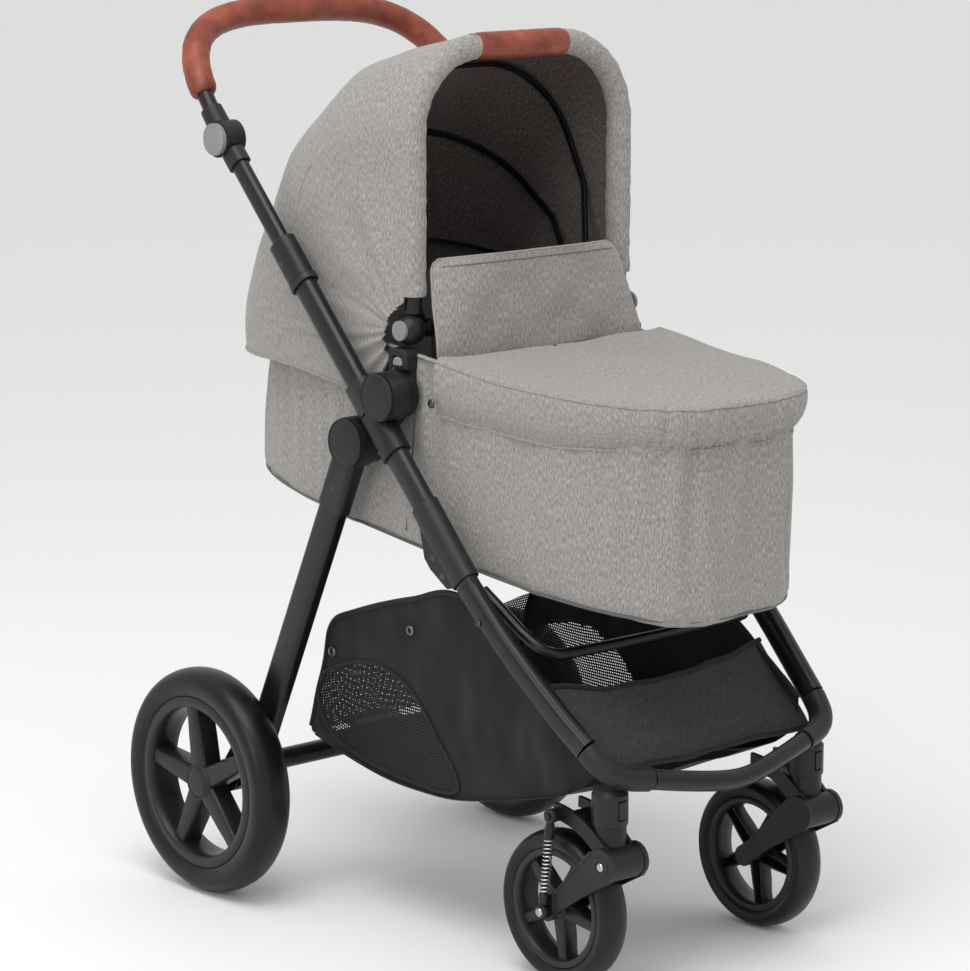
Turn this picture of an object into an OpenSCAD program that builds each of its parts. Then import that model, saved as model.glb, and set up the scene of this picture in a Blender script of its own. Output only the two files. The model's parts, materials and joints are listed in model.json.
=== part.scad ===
// Baby stroller: a folding chassis on four wheels, a lift-off bassinet with a folding
// canopy, and a storage basket. X runs across the stroller, Y from the front to the rear
// and Z up. The origin is on the floor in the symmetry plane, 300 mm ahead of the rear axle.

/* [Wheels] */
// Rear wheel diameter
rear_wheel_d = 290; // [284:1:294]
// Rear tyre width
rear_tyre_w = 53; // [46:1:54]
// Distance between the rear tyres' middle planes
rear_track = 514; // [512:1:520]
// Front wheel diameter
front_wheel_d = 186; // [180:1:187]
// Front tyre width
front_tyre_w = 41; // [36:1:42]
// Distance between the caster stems
front_track = 328; // [324:1:330]
// Distance from the front axle to the rear axle
wheelbase = 564; // [558:1:570]
// Swivel stem's distance in front of the front axle
caster_trail = 76; // [75:1:78]

/* [Chassis] */
// Distance between the middle planes of the side tubes
tube_track = 422; // [420:1:424]
// Slope of the side tubes above the floor
tube_slope = 47.3; // [46.8:0.1:47.8]
// Width of a side tube, across the stroller
tube_w = 22; // [20:0.5:22]
// Depth of a side tube, in the side view
tube_t = 32; // [29:0.5:32]
// Distance along the tube from the fold hub to the handle's tilt joint
tilt_at = 418; // [410:1:424]
// Slope of the rear legs above the floor
leg_slope = 65.3; // [65:0.1:65.8]
// Depth of a rear leg, in the side view
leg_t = 38; // [34:1:40]

/* [Handle] */
// Slope of the plane that the handle bow lies in
handle_slope = 50; // [46:1:54]
// Length of the handle bow past its tilt joint
handle_l = 190; // [180:1:194]
// Diameter of the padded grip
grip_d = 35; // [32:1:36]

/* [Bassinet] */
// Length of the bassinet body
bassinet_l = 756; // [744:1:758]
// Width of the bassinet body
bassinet_w = 346; // [340:1:348]
// Depth of the bassinet body
bassinet_h = 242; // [236:1:244]
// Rise of the bassinet towards the head end
bassinet_tilt = 7; // [6:0.5:7.5]
// Height of the wind flap
flap_h = 106; // [94:1:108]

/* [Canopy] */
// Radius of the front hoop's bar, from the canopy pivot
hoop_r = 331; // [326:1:334]
// Half the width of the front hoop
hoop_half_w = 168; // [166:1:169]
// Diameter of the front hoop's bar
hoop_d = 22; // [20:1:23]

/* [Hidden] */
$fn = 64;

// Clearance between pieces that lie against each other
gap = 0.3;
// Radial clearance of a pin in its bore
run = 0.05;
// Radius of the hinge pins
pin_r = 6;

// Side view places are [y, z]. The side tube's middle line passes through tube_foot.
tube_x = tube_track / 2;
tube_foot = [23, 649];
tube_dir = [cos(tube_slope), sin(tube_slope)];
tube_normal = [-sin(tube_slope), cos(tube_slope)];
// The fold hub lies in front of the tube and the leg hub behind it
main_offset = 34.4;
leg_offset = 52.5;
leg_drop = 6;
main_hub = tube_foot + main_offset * tube_normal;
leg_hub = tube_foot - leg_offset * tube_normal - leg_drop * tube_dir;
tilt_axis = tube_foot + tilt_at * tube_dir;
hub_r = 28;
disc_r = 29.5;
web_in = 186;
web_out = 199.4;
disc_out = 230;

rear_axle = [300, rear_wheel_d / 2];
front_axle = [rear_axle[0] - wheelbase, front_wheel_d / 2];
stem = [front_track / 2, front_axle[0] - caster_trail];
arm_pivot = [-355, 166];
arm_in = 23;
arm_out = 29;
spring_x = 35;
spring_eye = [-278, 212];

leg_dir = [cos(leg_slope), -sin(leg_slope)];
leg_x = 213.5;
leg_w = 22;
leg_l = 486;
cross_bar = [226, 177];

canopy_pivot = [0, 748];
hoop_corner = 100;
rib_step = 27;

bassinet_mid = 18;
bassinet_floor = 480;
shell_wall = 5;

function side_of(side) = side < 0 ? [1, 0, 0] : [0, 0, 0];
function unit(v) = v / norm(v);

// Rounded rectangle outline, w by t with corner radius r
function rounded(w, t, r, steps = 4) = [
    for (q = [0 : 3], i = [0 : steps - 1])
        let (a = 90 * q + 90 * i / (steps - 1),
             cx = (q == 0 || q == 3 ? 1 : -1) * (w / 2 - r),
             cy = (q < 2 ? 1 : -1) * (t / 2 - r))
        [cx + r * cos(a), cy + r * sin(a)]
];

function ring(r, steps) = [for (i = [0 : steps - 1]) r * [cos(360 * i / steps), sin(360 * i / steps)]];

// Superellipse outline with half sizes a and b
function soft_oval(a, b, n, steps) = [
    for (i = [0 : steps - 1])
        let (c = cos(360 * i / steps), s = sin(360 * i / steps))
        [a * sign(c) * pow(abs(c), 2 / n), b * sign(s) * pow(abs(s), 2 / n)]
];

// Smooth curve through a list of points, with a few steps between neighbours
function curve_point(a, b, c, d, t) = 0.5 * ((2 * b) + (c - a) * t
    + (2 * a - 5 * b + 4 * c - d) * t * t + (3 * b - a - 3 * c + d) * t * t * t);
function smooth(p, steps) = let (last = len(p) - 1) [
    for (i = [0 : last - 1], k = [0 : steps - 1])
        curve_point(p[max(i - 1, 0)], p[i], p[i + 1], p[min(i + 2, last)], k / steps),
    p[last]
];

// Sweeps an outline along a path. The outline's second axis stays near the direction up.
module sweep(path, outline, up) {
    n = len(outline);
    last = len(path) - 1;
    rings = [for (i = [0 : last])
        let (t = unit(path[min(i + 1, last)] - path[max(i - 1, 0)]),
             s = unit(cross(up, t)),
             u = cross(t, s))
        for (p = outline) path[i] + p[0] * s + p[1] * u];
    walls = [for (i = [0 : last - 1], j = [0 : n - 1])
        [(i + 1) * n + j, (i + 1) * n + (j + 1) % n, i * n + (j + 1) % n, i * n + j]];
    polyhedron(rings, concat([[for (j = [0 : n - 1]) j]],
        walls, [[for (j = [n - 1 : -1 : 0]) last * n + j]]));
}

// Sweeps a hollow round tube along a path
module sweep_pipe(path, r_out, r_in, sides, up) {
    last = len(path) - 1;
    loop = 2 * sides;
    rings = [for (i = [0 : last])
        let (t = unit(path[min(i + 1, last)] - path[max(i - 1, 0)]),
             s = unit(cross(up, t)),
             u = cross(t, s))
        each [for (r = [r_out, r_in], p = ring(r, sides)) path[i] + p[0] * s + p[1] * u]];
    outer = [for (i = [0 : last - 1], j = [0 : sides - 1]) let (k = (j + 1) % sides)
        [(i + 1) * loop + j, (i + 1) * loop + k, i * loop + k, i * loop + j]];
    inner = [for (i = [0 : last - 1], j = [0 : sides - 1]) let (k = (j + 1) % sides, m = sides)
        [i * loop + m + j, i * loop + m + k, (i + 1) * loop + m + k, (i + 1) * loop + m + j]];
    start = [for (j = [0 : sides - 1]) let (k = (j + 1) % sides)
        [j, k, sides + k, sides + j]];
    end = [for (j = [0 : sides - 1]) let (k = (j + 1) % sides, e = last * loop)
        [e + sides + j, e + sides + k, e + k, e + j]];
    polyhedron(rings, concat(outer, inner, start, end));
}

// Draws the right side piece, mirrored when side is -1
module on_side(side) { mirror(side_of(side)) children(); }
module both_sides() { for (side = [-1, 1]) on_side(side) children(); }

// A cylinder along X, from x_in to x_out, at a side view place
module x_cylinder(place, r, x_in, x_out) {
    translate([x_in, place[0], place[1]]) rotate([0, 90, 0]) cylinder(h = x_out - x_in, r = r);
}

// A side view outline given width, from x_in to x_out
module x_plate(outline, x_in, x_out) {
    translate([x_in, 0, 0]) rotate([90, 0, 90]) linear_extrude(x_out - x_in) polygon(outline);
}

// A straight cylinder between two points
module rod(a, b, r) {
    v = b - a;
    translate(a) rotate([0, acos(v[2] / norm(v)), atan2(v[1], v[0])]) cylinder(h = norm(v), r = r);
}

// The side tube's own frame: Z along the tube, Y to the rear and down, origin at tube_foot
module tube_frame() {
    translate([tube_x, tube_foot[0], tube_foot[1]]) rotate([tube_slope - 90, 0, 0]) children();
}

// A piece of tube between two distances along the side tube
module tube_piece(z_low, z_high, w, t, r) {
    translate([0, 0, z_low]) linear_extrude(z_high - z_low) polygon(rounded(w, t, r));
}

// The rear leg's own frame: Z down the leg from the leg hub
module leg_frame() {
    translate([leg_x, leg_hub[0], leg_hub[1]]) rotate([-90 - leg_slope, 0, 0]) children();
}

// ---- front frame ----

bend_top = -252;
front_path = smooth([
    [tube_x, tube_foot[0] + bend_top * tube_dir[0], tube_foot[1] + bend_top * tube_dir[1]],
    [tube_x - 3, -198, 413], [tube_x - 8, -245, 370], [tube_x - 15, -290, 330],
    [tube_x - 22, -326, 300]], 4);
corner_path = smooth([
    [tube_x - 22.3, -327.5, 298.8], [tube_x - 29, -346, 281], [tube_x - 48, -360, 268],
    [tube_x - 83, -369.5, 262]], 5);
crossbar_half = [[tube_x - 85, -370, 261.6], [tube_x - 130, -378, 253], [tube_x - 175, -385, 246]];
crossbar_path = smooth(concat(crossbar_half, [[0, -387, 243]],
    [for (i = [2 : -1 : 0]) [-crossbar_half[i][0], crossbar_half[i][1], crossbar_half[i][2]]]), 4);
sweep_up = [0, tube_normal[0], tube_normal[1]];
lower_top = -24;

module front_tubes() {
    color("#26272a") both_sides() {
        tube_frame() tube_piece(bend_top, lower_top, tube_w, tube_t, 10);
        sweep(front_path, rounded(tube_w, tube_t, 10), sweep_up);
    }
}

module front_crossbar() {
    color("#26272a") sweep(crossbar_path, rounded(22, 24, 9), sweep_up);
}

module corner_joints() {
    color("#303135") both_sides() sweep(corner_path, rounded(25, 29, 10), sweep_up);
}

socket_low = 209;
socket_high = 252;
stem_top = 236;
stem_wall = 12.5;
module caster_sockets() {
    color("#303135") both_sides() difference() {
        translate([stem[0], stem[1], 0]) rotate_extrude()
            polygon([[10 + run, socket_low], [20.5, socket_low], [21.5, socket_low + 2],
                [21.5, socket_high - 6], [17, socket_high], [0, socket_high],
                [0, stem_top + 2], [10 + run, stem_top + 2]]);
        translate([stem[0] - 6, stem[1] - 24, socket_low + 8]) cube([12, 24 - stem_wall, 24]);
    }
}

module caster_button(side) {
    color("#3c3d41") on_side(side) translate([stem[0] - 5, stem[1] - 22, socket_low + 9.5])
        cube([10, 5.5, 21]);
}

// Fixed hub casting: a web inboard of the tube, a socket round the tube and two hinge pins
module hub_brackets() {
    web = [tube_foot + 20 * tube_dir + main_offset * tube_normal,
        tube_foot + 20 * tube_dir - leg_offset * tube_normal,
        tube_foot - 24 * tube_dir - leg_offset * tube_normal,
        tube_foot - 24 * tube_dir + main_offset * tube_normal];
    color("#303135") both_sides() {
        difference() {
            union() {
                x_cylinder(main_hub, hub_r, web_in, web_out);
                x_cylinder(leg_hub, hub_r, web_in, leg_x - leg_w / 2 - gap);
                x_plate(web, web_in, web_out);
                tube_frame() difference() {
                    tube_piece(-62, -1, 30, 40, 13);
                    tube_piece(-63, lower_top, tube_w + 0.2, tube_t + 0.2, 10);
                }
            }
            x_cylinder(main_hub, disc_r + 1, web_out, disc_out + 10);
            x_cylinder(leg_hub, 32.5, leg_x - leg_w / 2 - gap, disc_out + 10);
        }
        x_cylinder(main_hub, pin_r, web_out, disc_out - 6);
        x_cylinder(leg_hub, pin_r, leg_x - leg_w / 2 - gap, disc_out - 6);
    }
}

// Moulded clamp round each lower tube, with a riveted ear at the rear
module lower_clamps() {
    ear = [[12, -150], [22, -168], [33, -188], [33, -204], [24, -238], [12, -244]];
    color("#303135") both_sides() tube_frame() difference() {
        union() {
            tube_piece(-245, -135, 28, 38, 13);
            rotate([90, 0, 90]) translate([0, 0, -11]) linear_extrude(22) polygon(ear);
        }
        tube_piece(-246, -134, tube_w + 0.2, tube_t + 0.2, 10);
    }
}

module support_bar() {
    half = [[189, -148, 457], [183, -175, 436], [174, -215, 405], [160, -236, 392], [130, -240, 389]];
    path = smooth(concat(half, [[0, -241, 388]],
        [for (i = [len(half) - 1 : -1 : 0]) [-half[i][0], half[i][1], half[i][2]]]), 3);
    color("#1d1e20") sweep(path, ring(7, 10), [0, 0.6, 0.8]);
}

basket_half = 172;
basket_outer = [[-322, 292], [-125, 440], [158, 362], [196, 212], [135, 196], [55, 182],
    [-15, 178], [-85, 182], [-179, 203], [-271, 230], [-322, 262]];
basket_wall = 3;
module basket() {
    // The hollow is open at the top and along the upper part of the sloping front
    hollow = [[-319, 289.5], [-252, 340], [-252, 470], [160, 470], [155, 361], [192.5, 214.5],
        [134, 199], [54.5, 185], [-15, 181], [-84.5, 185], [-178, 206], [-270, 233], [-319, 264]];
    color("#17181a") difference() {
        x_plate(basket_outer, -basket_half, basket_half);
        x_plate(hollow, basket_wall - basket_half, basket_half - basket_wall);
    }
}

// ---- folding upper frame ----

module fold_hubs() {
    color("#303135") both_sides() difference() {
        union() {
            x_cylinder(main_hub, disc_r, web_out + 1, disc_out - 4);
            x_cylinder(main_hub, disc_r - 2.5, disc_out - 4, disc_out);
            tube_frame() intersection() {
                tube_piece(1, 42, 30, 40, 13);
                translate([web_out + 1 - tube_x, -50, 0]) cube([40, 100, 50]);
            }
        }
        x_cylinder(main_hub, pin_r + run, web_out, disc_out - 5);
        tube_frame() tube_piece(22, 43, tube_w + 0.2, tube_t + 0.2, 10);
    }
}

tube_top = 250;
module upper_tubes() {
    color("#26272a") both_sides() tube_frame() difference() {
        tube_piece(22.2, tube_top, tube_w, tube_t, 10);
        tube_piece(21, tube_top + 1, tube_w - 3.4, tube_t - 4, 8);
    }
}

module telescope_collars() {
    color("#303135") both_sides() tube_frame() difference() {
        union() {
            tube_piece(195, 256, 28, 38, 13);
            tube_piece(190, 199, 30, 41, 14);
        }
        tube_piece(189, tube_top + 0.2, tube_w + 0.2, tube_t + 0.2, 10);
        tube_piece(tube_top, 257, 17.8, 25.8, 8);
    }
}

module inner_tubes() {
    color("#26272a") both_sides() tube_frame() tube_piece(130, tilt_at - 24.5, 17, 25, 8);
}

// The tilt joint's lower half is fixed to the inner tube, inboard of the upper half
joint_r = 23;
joint_split = tube_x - 1;
module tilt_housings() {
    color("#303135") both_sides() difference() {
        union() {
            x_cylinder(tilt_axis, joint_r, tube_x - 14, joint_split - gap);
            tube_frame() tube_piece(tilt_at - 42, tilt_at - 22, 24, 31, 10);
        }
        x_cylinder(tilt_axis, pin_r + run, tube_x - 20, disc_out);
        x_cylinder(tilt_axis, joint_r + 0.5, joint_split - gap, disc_out);
        tube_frame() tube_piece(tilt_at - 43, tilt_at - 24.3, 17.2, 25.2, 8);
    }
}

// ---- handle ----

handle_dir = [cos(handle_slope), sin(handle_slope)];
handle_up = [0, -handle_dir[1], handle_dir[0]];
bow_power = 3.4;
// A point of the handle bow: a runs from 0 at the right joint to 180 at the left one
function bow(a) = let (c = cos(a), w = handle_l * pow(sin(a), 2 / bow_power))
    [tube_x * sign(c) * pow(abs(c), 2 / bow_power),
     tilt_axis[0] + w * handle_dir[0], tilt_axis[1] + w * handle_dir[1]];
grip_start = 10;

module handle_tube() {
    color("#26272a") sweep([for (a = [2.2, 4, 7, each [10 : 5 : 170], 173, 176, 177.8]) bow(a)],
        ring(10.5, 12), handle_up);
}

module tilt_heads() {
    neck = bow(3)[1] - tilt_axis[0];
    color("#303135") both_sides() difference() {
        union() {
            x_cylinder(tilt_axis, joint_r, joint_split, disc_out - 5);
            translate([tube_x, tilt_axis[0], tilt_axis[1]]) rotate([handle_slope - 90, 0, 0])
                translate([0, 0, 12]) cylinder(h = 32, r1 = 15, r2 = 14);
        }
        x_cylinder(tilt_axis, pin_r + run, tube_x - 20, disc_out);
        x_cylinder(tilt_axis, joint_r - 2.5, disc_out - 9, disc_out);
        x_cylinder(tilt_axis, joint_r + 0.5, tube_x - 20, joint_split);
        translate([tube_x, tilt_axis[0], tilt_axis[1]]) rotate([handle_slope - 90, 0, 0])
            translate([0, 0, 25]) cylinder(h = 40, r = 10.8);
    }
}

module tilt_button(side) {
    color("#8d8f92") on_side(side) {
        x_cylinder(tilt_axis, joint_r - 3, disc_out - 5, disc_out + 1);
        x_cylinder(tilt_axis, pin_r, tube_x - 10, disc_out - 5);
    }
}

module handle_grip() {
    color("#8a4330") sweep_pipe([for (a = [grip_start : 4 : 180 - grip_start]) bow(a)],
        grip_d / 2, 11, 14, handle_up);
}

// ---- rear frame ----

module rear_legs() {
    color("#26272a") both_sides() leg_frame() translate([0, 0, 42])
        linear_extrude(leg_l - 42) polygon(rounded(leg_w, leg_t, 7));
}

module leg_hubs() {
    color("#303135") both_sides() difference() {
        union() {
            x_cylinder(leg_hub, 31, leg_x - leg_w / 2, disc_out - 4);
            x_cylinder(leg_hub, 28.5, disc_out - 4, disc_out);
            leg_frame() translate([0, 0, 20]) linear_extrude(75) polygon(rounded(leg_w + 4, leg_t + 5, 9));
        }
        x_cylinder(leg_hub, 31, web_in, leg_x - leg_w / 2);
        x_cylinder(leg_hub, pin_r + run, web_in, disc_out - 5);
        leg_frame() translate([0, 0, 41.8]) linear_extrude(60) polygon(rounded(leg_w + 0.2, leg_t + 0.2, 7));
    }
}

module rear_crossbar() {
    half = leg_x - leg_w / 2 - gap;
    color("#26272a") x_cylinder(cross_bar, 13, -half, half);
}

axle_r = 6;
wheel_in = rear_track / 2 - rear_tyre_w / 2;
module axle_brackets() {
    foot = leg_hub + leg_l * leg_dir;
    arm = [foot + [-14, 26], foot + [20, 36], rear_axle + [14, 12], rear_axle + [12, -14],
        rear_axle + [-14, -16], foot + [-24, -4]];
    color("#303135") both_sides() {
        difference() {
            union() {
                x_plate(arm, leg_x - 13, leg_x + 11);
                x_cylinder(rear_axle, 21, leg_x - 13, wheel_in - 2);
            }
            leg_frame() translate([0, 0, 20]) linear_extrude(leg_l - 20 + 0.1)
                polygon(rounded(leg_w + 0.2, leg_t + 0.2, 7));
        }
        x_cylinder(rear_axle, axle_r, wheel_in - 2, rear_track / 2 + 18);
    }
}

// Foot brake: a sleeve that turns on the rear crossbar and a tread behind it
module brake_pedal() {
    tread = [[14, -7], [22, 8], [66, 14], [70, 8], [66, 3], [28, -6]];
    color("#232427") difference() {
        union() {
            x_cylinder(cross_bar, 19, -46, 46);
            x_plate([for (p = tread) p + cross_bar], -36, 36);
        }
        x_cylinder(cross_bar, 13 + run, -50, 50);
    }
}

// ---- wheels ----

// Turns a profile about the X axis, centred on a wheel
module wheel_at(x, axle) { translate([x, axle[0], axle[1]]) rotate([0, 90, 0]) children(); }

module tyre(d, w, depth) {
    section = [for (p = soft_oval(depth / 2, w / 2, 2.6, 28)) p + [d / 2 - depth / 2, 0]];
    color("#1b1b1d") intersection() {
        rotate_extrude($fn = 96) polygon(section);
        cylinder(h = w + 2, r = d / 2, center = true, $fn = 96);
    }
}

// Moulded rim with a rounded bed that the tyre sits on, five spokes and a bored hub
module rim(d, w, depth, hub, bore) {
    bed = d / 2 - depth;
    lip = w / 2 - 5;
    color("#3a3b3e") {
        difference() {
            union() {
                rotate_extrude($fn = 96) polygon([[bed - 9, -lip], [bed - 1.5, -lip],
                    [bed - 0.5, 1 - lip], [bed - 0.5, lip - 1], [bed - 1.5, lip], [bed - 9, lip],
                    [bed - 12, lip - 5], [bed - 12, 5 - lip]]);
                cylinder(h = 2 * lip, r = hub, center = true);
                for (k = [0 : 4]) rotate([0, 0, 72 * k]) linear_extrude(lip, center = true)
                    polygon([[hub - 4, -hub * 0.5], [bed - 10, -hub * 0.36],
                        [bed - 10, hub * 0.36], [hub - 4, hub * 0.5]]);
            }
            cylinder(h = w, r = bore, center = true);
        }
    }
}

rear_depth = 27;
front_depth = 21;
module rear_tyre(side) {
    on_side(side) wheel_at(rear_track / 2, rear_axle) tyre(rear_wheel_d, rear_tyre_w, rear_depth);
}
module rear_rim(side) {
    on_side(side) wheel_at(rear_track / 2, rear_axle)
        rim(rear_wheel_d, rear_tyre_w, rear_depth, 26, axle_r + run);
}
module front_tyre(side) {
    on_side(side) wheel_at(front_track / 2, front_axle) tyre(front_wheel_d, front_tyre_w, front_depth);
}
module front_rim(side) {
    on_side(side) wheel_at(front_track / 2, front_axle)
        rim(front_wheel_d, front_tyre_w, front_depth, 15, 5 + run);
}

// ---- casters ----

// Swivelling fork: stem, neck, cross barrel, and two horns that arch back to the spring
barrel_r = 20;
horn_in = 118;
horn_out = 131;
saddle_in = 112;
saddle_out = 121;
function arc(r, from, to) = let (step = from < to ? 6 : -6)
    [for (a = [from : step : to]) front_axle + r * [cos(a), sin(a)]];

module caster_fork(side) {
    color("#2b2c2f") on_side(side) translate([stem[0], 0, 0]) difference() {
        union() {
            translate([0, stem[1], arm_pivot[1] - 6])
                cylinder(h = socket_low - gap - arm_pivot[1] + 6, r = 19.5);
            translate([0, stem[1], 200]) cylinder(h = stem_top - 200, r = 10);
            x_cylinder(arm_pivot, barrel_r, gap - arm_in, arm_in - gap);
            for (x = [-arm_in + 0.8, arm_in - 5.8])
                x_plate(concat(arc(horn_in, 92, 140), arc(horn_out, 140, 92)), x, x + 5);
            x_plate(concat(arc(saddle_in, 98, 134), arc(saddle_out, 134, 98)), -arm_in + 0.8, arm_in - 0.8);
            x_cylinder(spring_eye, 8, arm_in - 5.8, arm_out);
            x_cylinder(spring_eye, 3.5, arm_out, spring_x + 6.5);
        }
        x_cylinder(arm_pivot, 5 + run, -30, 30);
        x_cylinder(front_axle, front_wheel_d / 2 + 9.5, -21.5, 21.5);
    }
}

// Trailing arm: two plates, the pivot pin and the wheel axle
module caster_arm(side) {
    arm = [arm_pivot + [-6, 19], arm_pivot + [19, 15], front_axle + [-11, 24], front_axle + [8, 10],
        front_axle + [4, -12], front_axle + [-14, -2], arm_pivot + [26, -40], arm_pivot + [-14, -17]];
    color("#303135") on_side(side) translate([stem[0], 0, 0]) {
        for (x = [-arm_out, arm_in]) {
            x_plate(arm, x, x + arm_out - arm_in);
            x_cylinder(arm_pivot, 21, x, x + arm_out - arm_in);
            x_cylinder(front_axle, 13, x, x + arm_out - arm_in);
        }
        x_cylinder(arm_pivot, 5, -arm_in, arm_in);
        x_cylinder(front_axle, 5, -arm_in, arm_in);
        x_cylinder(front_axle, 4, arm_out, spring_x + 7);
    }
}

module caster_spring(side) {
    a = [stem[0] + spring_x, front_axle[0], front_axle[1]];
    b = [stem[0] + spring_x, spring_eye[0], spring_eye[1]];
    v = unit(b - a);
    color("#c9cacc") on_side(side) difference() {
        union() {
            rod(a + 10 * v, b - 6 * v, 5.5);
            x_cylinder(front_axle, 9, stem[0] + spring_x - 5, stem[0] + spring_x + 5);
            x_cylinder(spring_eye, 7.5, stem[0] + spring_x - 5, stem[0] + spring_x + 5);
        }
        x_cylinder(front_axle, 4 + run, 0, 400);
        x_cylinder(spring_eye, 3.5 + run, 0, 400);
    }
}

// ---- bassinet ----

// The bassinet's own frame: tilted, with the origin in the middle of its floor
module bassinet_frame() {
    translate([0, bassinet_mid, bassinet_floor]) rotate([bassinet_tilt, 0, 0]) children();
}

// The bassinet's outline seen from above, grown by a margin
function plan(grow) = soft_oval(bassinet_w / 2 + grow, bassinet_l / 2 + grow, 3.2, 72);

module bassinet_shell() {
    color("#a5a2a0") bassinet_frame() difference() {
        linear_extrude(bassinet_h) polygon(plan(0));
        translate([0, 0, shell_wall]) linear_extrude(bassinet_h) polygon(plan(-shell_wall));
    }
}

board_t = 4;
module base_board() {
    color("#6b6c6e") bassinet_frame() translate([0, 0, shell_wall + 0.2])
        linear_extrude(board_t) polygon(plan(-shell_wall - 3));
}

module mattress() {
    color("#d9d7d3") bassinet_frame() translate([0, 0, shell_wall + board_t + 0.5])
        linear_extrude(32) polygon(plan(-shell_wall - 6));
}

// Foot cover: a shallow cap over the front half of the bassinet
apron_back = -42;
apron_skirt = 66;
apron_grow = 20;
apron_roof = 2.6;
module apron() {
    tilt = 3;
    top = 243;
    color("#a5a2a0") intersection() {
        bassinet_frame() rotate([-tilt, 0, 0]) difference() {
            translate([0, -8, top - apron_skirt]) linear_extrude(apron_skirt) polygon(plan(apron_grow));
            translate([0, -8, top - apron_skirt - 20])
                linear_extrude(apron_skirt + 20 - apron_roof) polygon(plan(apron_grow - 6));
        }
        translate([-300, apron_back - 600, 400]) cube([600, 600, 500]);
    }
}

flap_hinge = [apron_back, 727];
flap_lean = 5;
flap_half = 162;
flap_t = 4;
module apron_flap() {
    color("#a5a2a0") translate([0, flap_hinge[0], flap_hinge[1]]) rotate([-flap_lean, 0, 0])
        translate([-flap_half, -flap_t / 2, 3]) cube([2 * flap_half, flap_t, flap_h - 3]);
}

// Bassinet side of the click-on mount, beside and above the hub casting
adapter_in = bassinet_w / 2;
module seat_adapters() {
    top = [[-17, 703.5], [17, 703.5], [17, 721], [11, 727], [-11, 727], [-17, 721]];
    color("#3c3d41") both_sides() difference() {
        union() {
            x_plate([[-16, 660], [16, 660], [16, 704], [-16, 704]], adapter_in, web_in - gap);
            x_plate(top, adapter_in, 194);
        }
        translate([188, -9, 706]) cube([10, 18, 12]);
    }
}

module adapter_button(side) {
    crescent = [[-8, 707], [8, 707], [7.6, 712], [5, 716], [0, 717.5], [-5, 716], [-7.6, 712]];
    color("#a9abad") on_side(side) x_plate(crescent, 189.5, 195);
}

// ---- canopy ----

// Draws in the canopy's own frame, turned back by an angle from upright
module canopy_frame(back) {
    translate([0, canopy_pivot[0], canopy_pivot[1]]) rotate([-back, 0, 0]) children();
}

// Half of an arch outline as [x, height], from the pivot's side to the top
function arch(half_w, r, corner) = [
    [half_w, 24],
    for (a = [0 : 9 : 90]) [half_w - corner + corner * cos(a), r - corner + corner * sin(a)]
];
function mirrored(p) = [for (i = [len(p) - 1 : -1 : 0]) [-p[i][0], p[i][1]]];
function swapped(p) = [for (q = p) [q[1], q[0]]];

// A curved fabric panel: an arch turned about the pivot from one angle to another
module gore(from, to, half_w, r, corner) {
    outer = arch(half_w, r, corner);
    inner = arch(half_w - gore_wall, r - gore_wall, corner - gore_wall);
    all_points = concat(outer, mirrored(outer), reversed(concat(inner, mirrored(inner))));
    color("#a5a2a0") translate([0, canopy_pivot[0], canopy_pivot[1]]) rotate([0, 90, 0])
        rotate([0, 0, 180 - to]) rotate_extrude(angle = to - from, $fn = 96)
            polygon(swapped(all_points));
}
function reversed(p) = [for (i = [len(p) - 1 : -1 : 0]) p[i]];
function tail(p) = [for (i = [1 : len(p) - 1]) p[i]];

// A flat arched rib with an eye round the pivot pin at each end
module rib(back, pin_x, half_w, r, corner) {
    rib_d = 4;
    leg_top = 85;
    out = concat([[pin_x, 8], [pin_x, leg_top], [half_w, leg_top + 75]], tail(arch(half_w, r, corner)));
    inn = concat([[pin_x - rib_d, 8], [pin_x - rib_d, leg_top + 2], [half_w - rib_d, leg_top + 77]],
        tail(arch(half_w - rib_d, r - rib_d, corner - rib_d)));
    color("#1d1e20") canopy_frame(back) difference() {
        union() {
            rotate([90, 0, 0]) linear_extrude(8, center = true)
                polygon(concat(out, mirrored(out), reversed(concat(inn, mirrored(inn)))));
            for (side = [-1, 1]) on_side(side)
                translate([pin_x - rib_d, 0, 0]) rotate([0, 90, 0]) cylinder(h = rib_d, r = 11);
        }
        translate([-200, 0, 0]) rotate([0, 90, 0]) cylinder(h = 400, r = pin_r + run);
    }
}

rib_end = [151, 146, 141];
gore_wall = 2.5;
gore_half = 184;
back_half = 187;
rib_half = gore_half - 4;
gore_r = [342, 337, 350, 386];
gore_corner = [100, 105, 120, 140];

module rear_rib() { rib(3 * rib_step, rib_end[2], rib_half, gore_r[3] - 6, gore_corner[3] - 6); }
module middle_rib_2() { rib(2 * rib_step, rib_end[1], rib_half, gore_r[2] - 5, gore_corner[2] - 5); }
module middle_rib_1() { rib(rib_step, rib_end[0], rib_half, gore_r[1] - 5, gore_corner[1] - 5); }
module canopy_back() { gore(3 * rib_step - 2, 101, back_half, gore_r[3], gore_corner[3]); }
module canopy_gore_3() { gore(2 * rib_step - 2, 3 * rib_step - 2.3, gore_half, gore_r[2], gore_corner[2]); }
module canopy_gore_2() { gore(rib_step - 2, 2 * rib_step - 2.3, gore_half, gore_r[1], gore_corner[1]); }
module canopy_gore_1() { gore(3, rib_step - 2.3, gore_half, gore_r[0], gore_corner[0]); }

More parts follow.
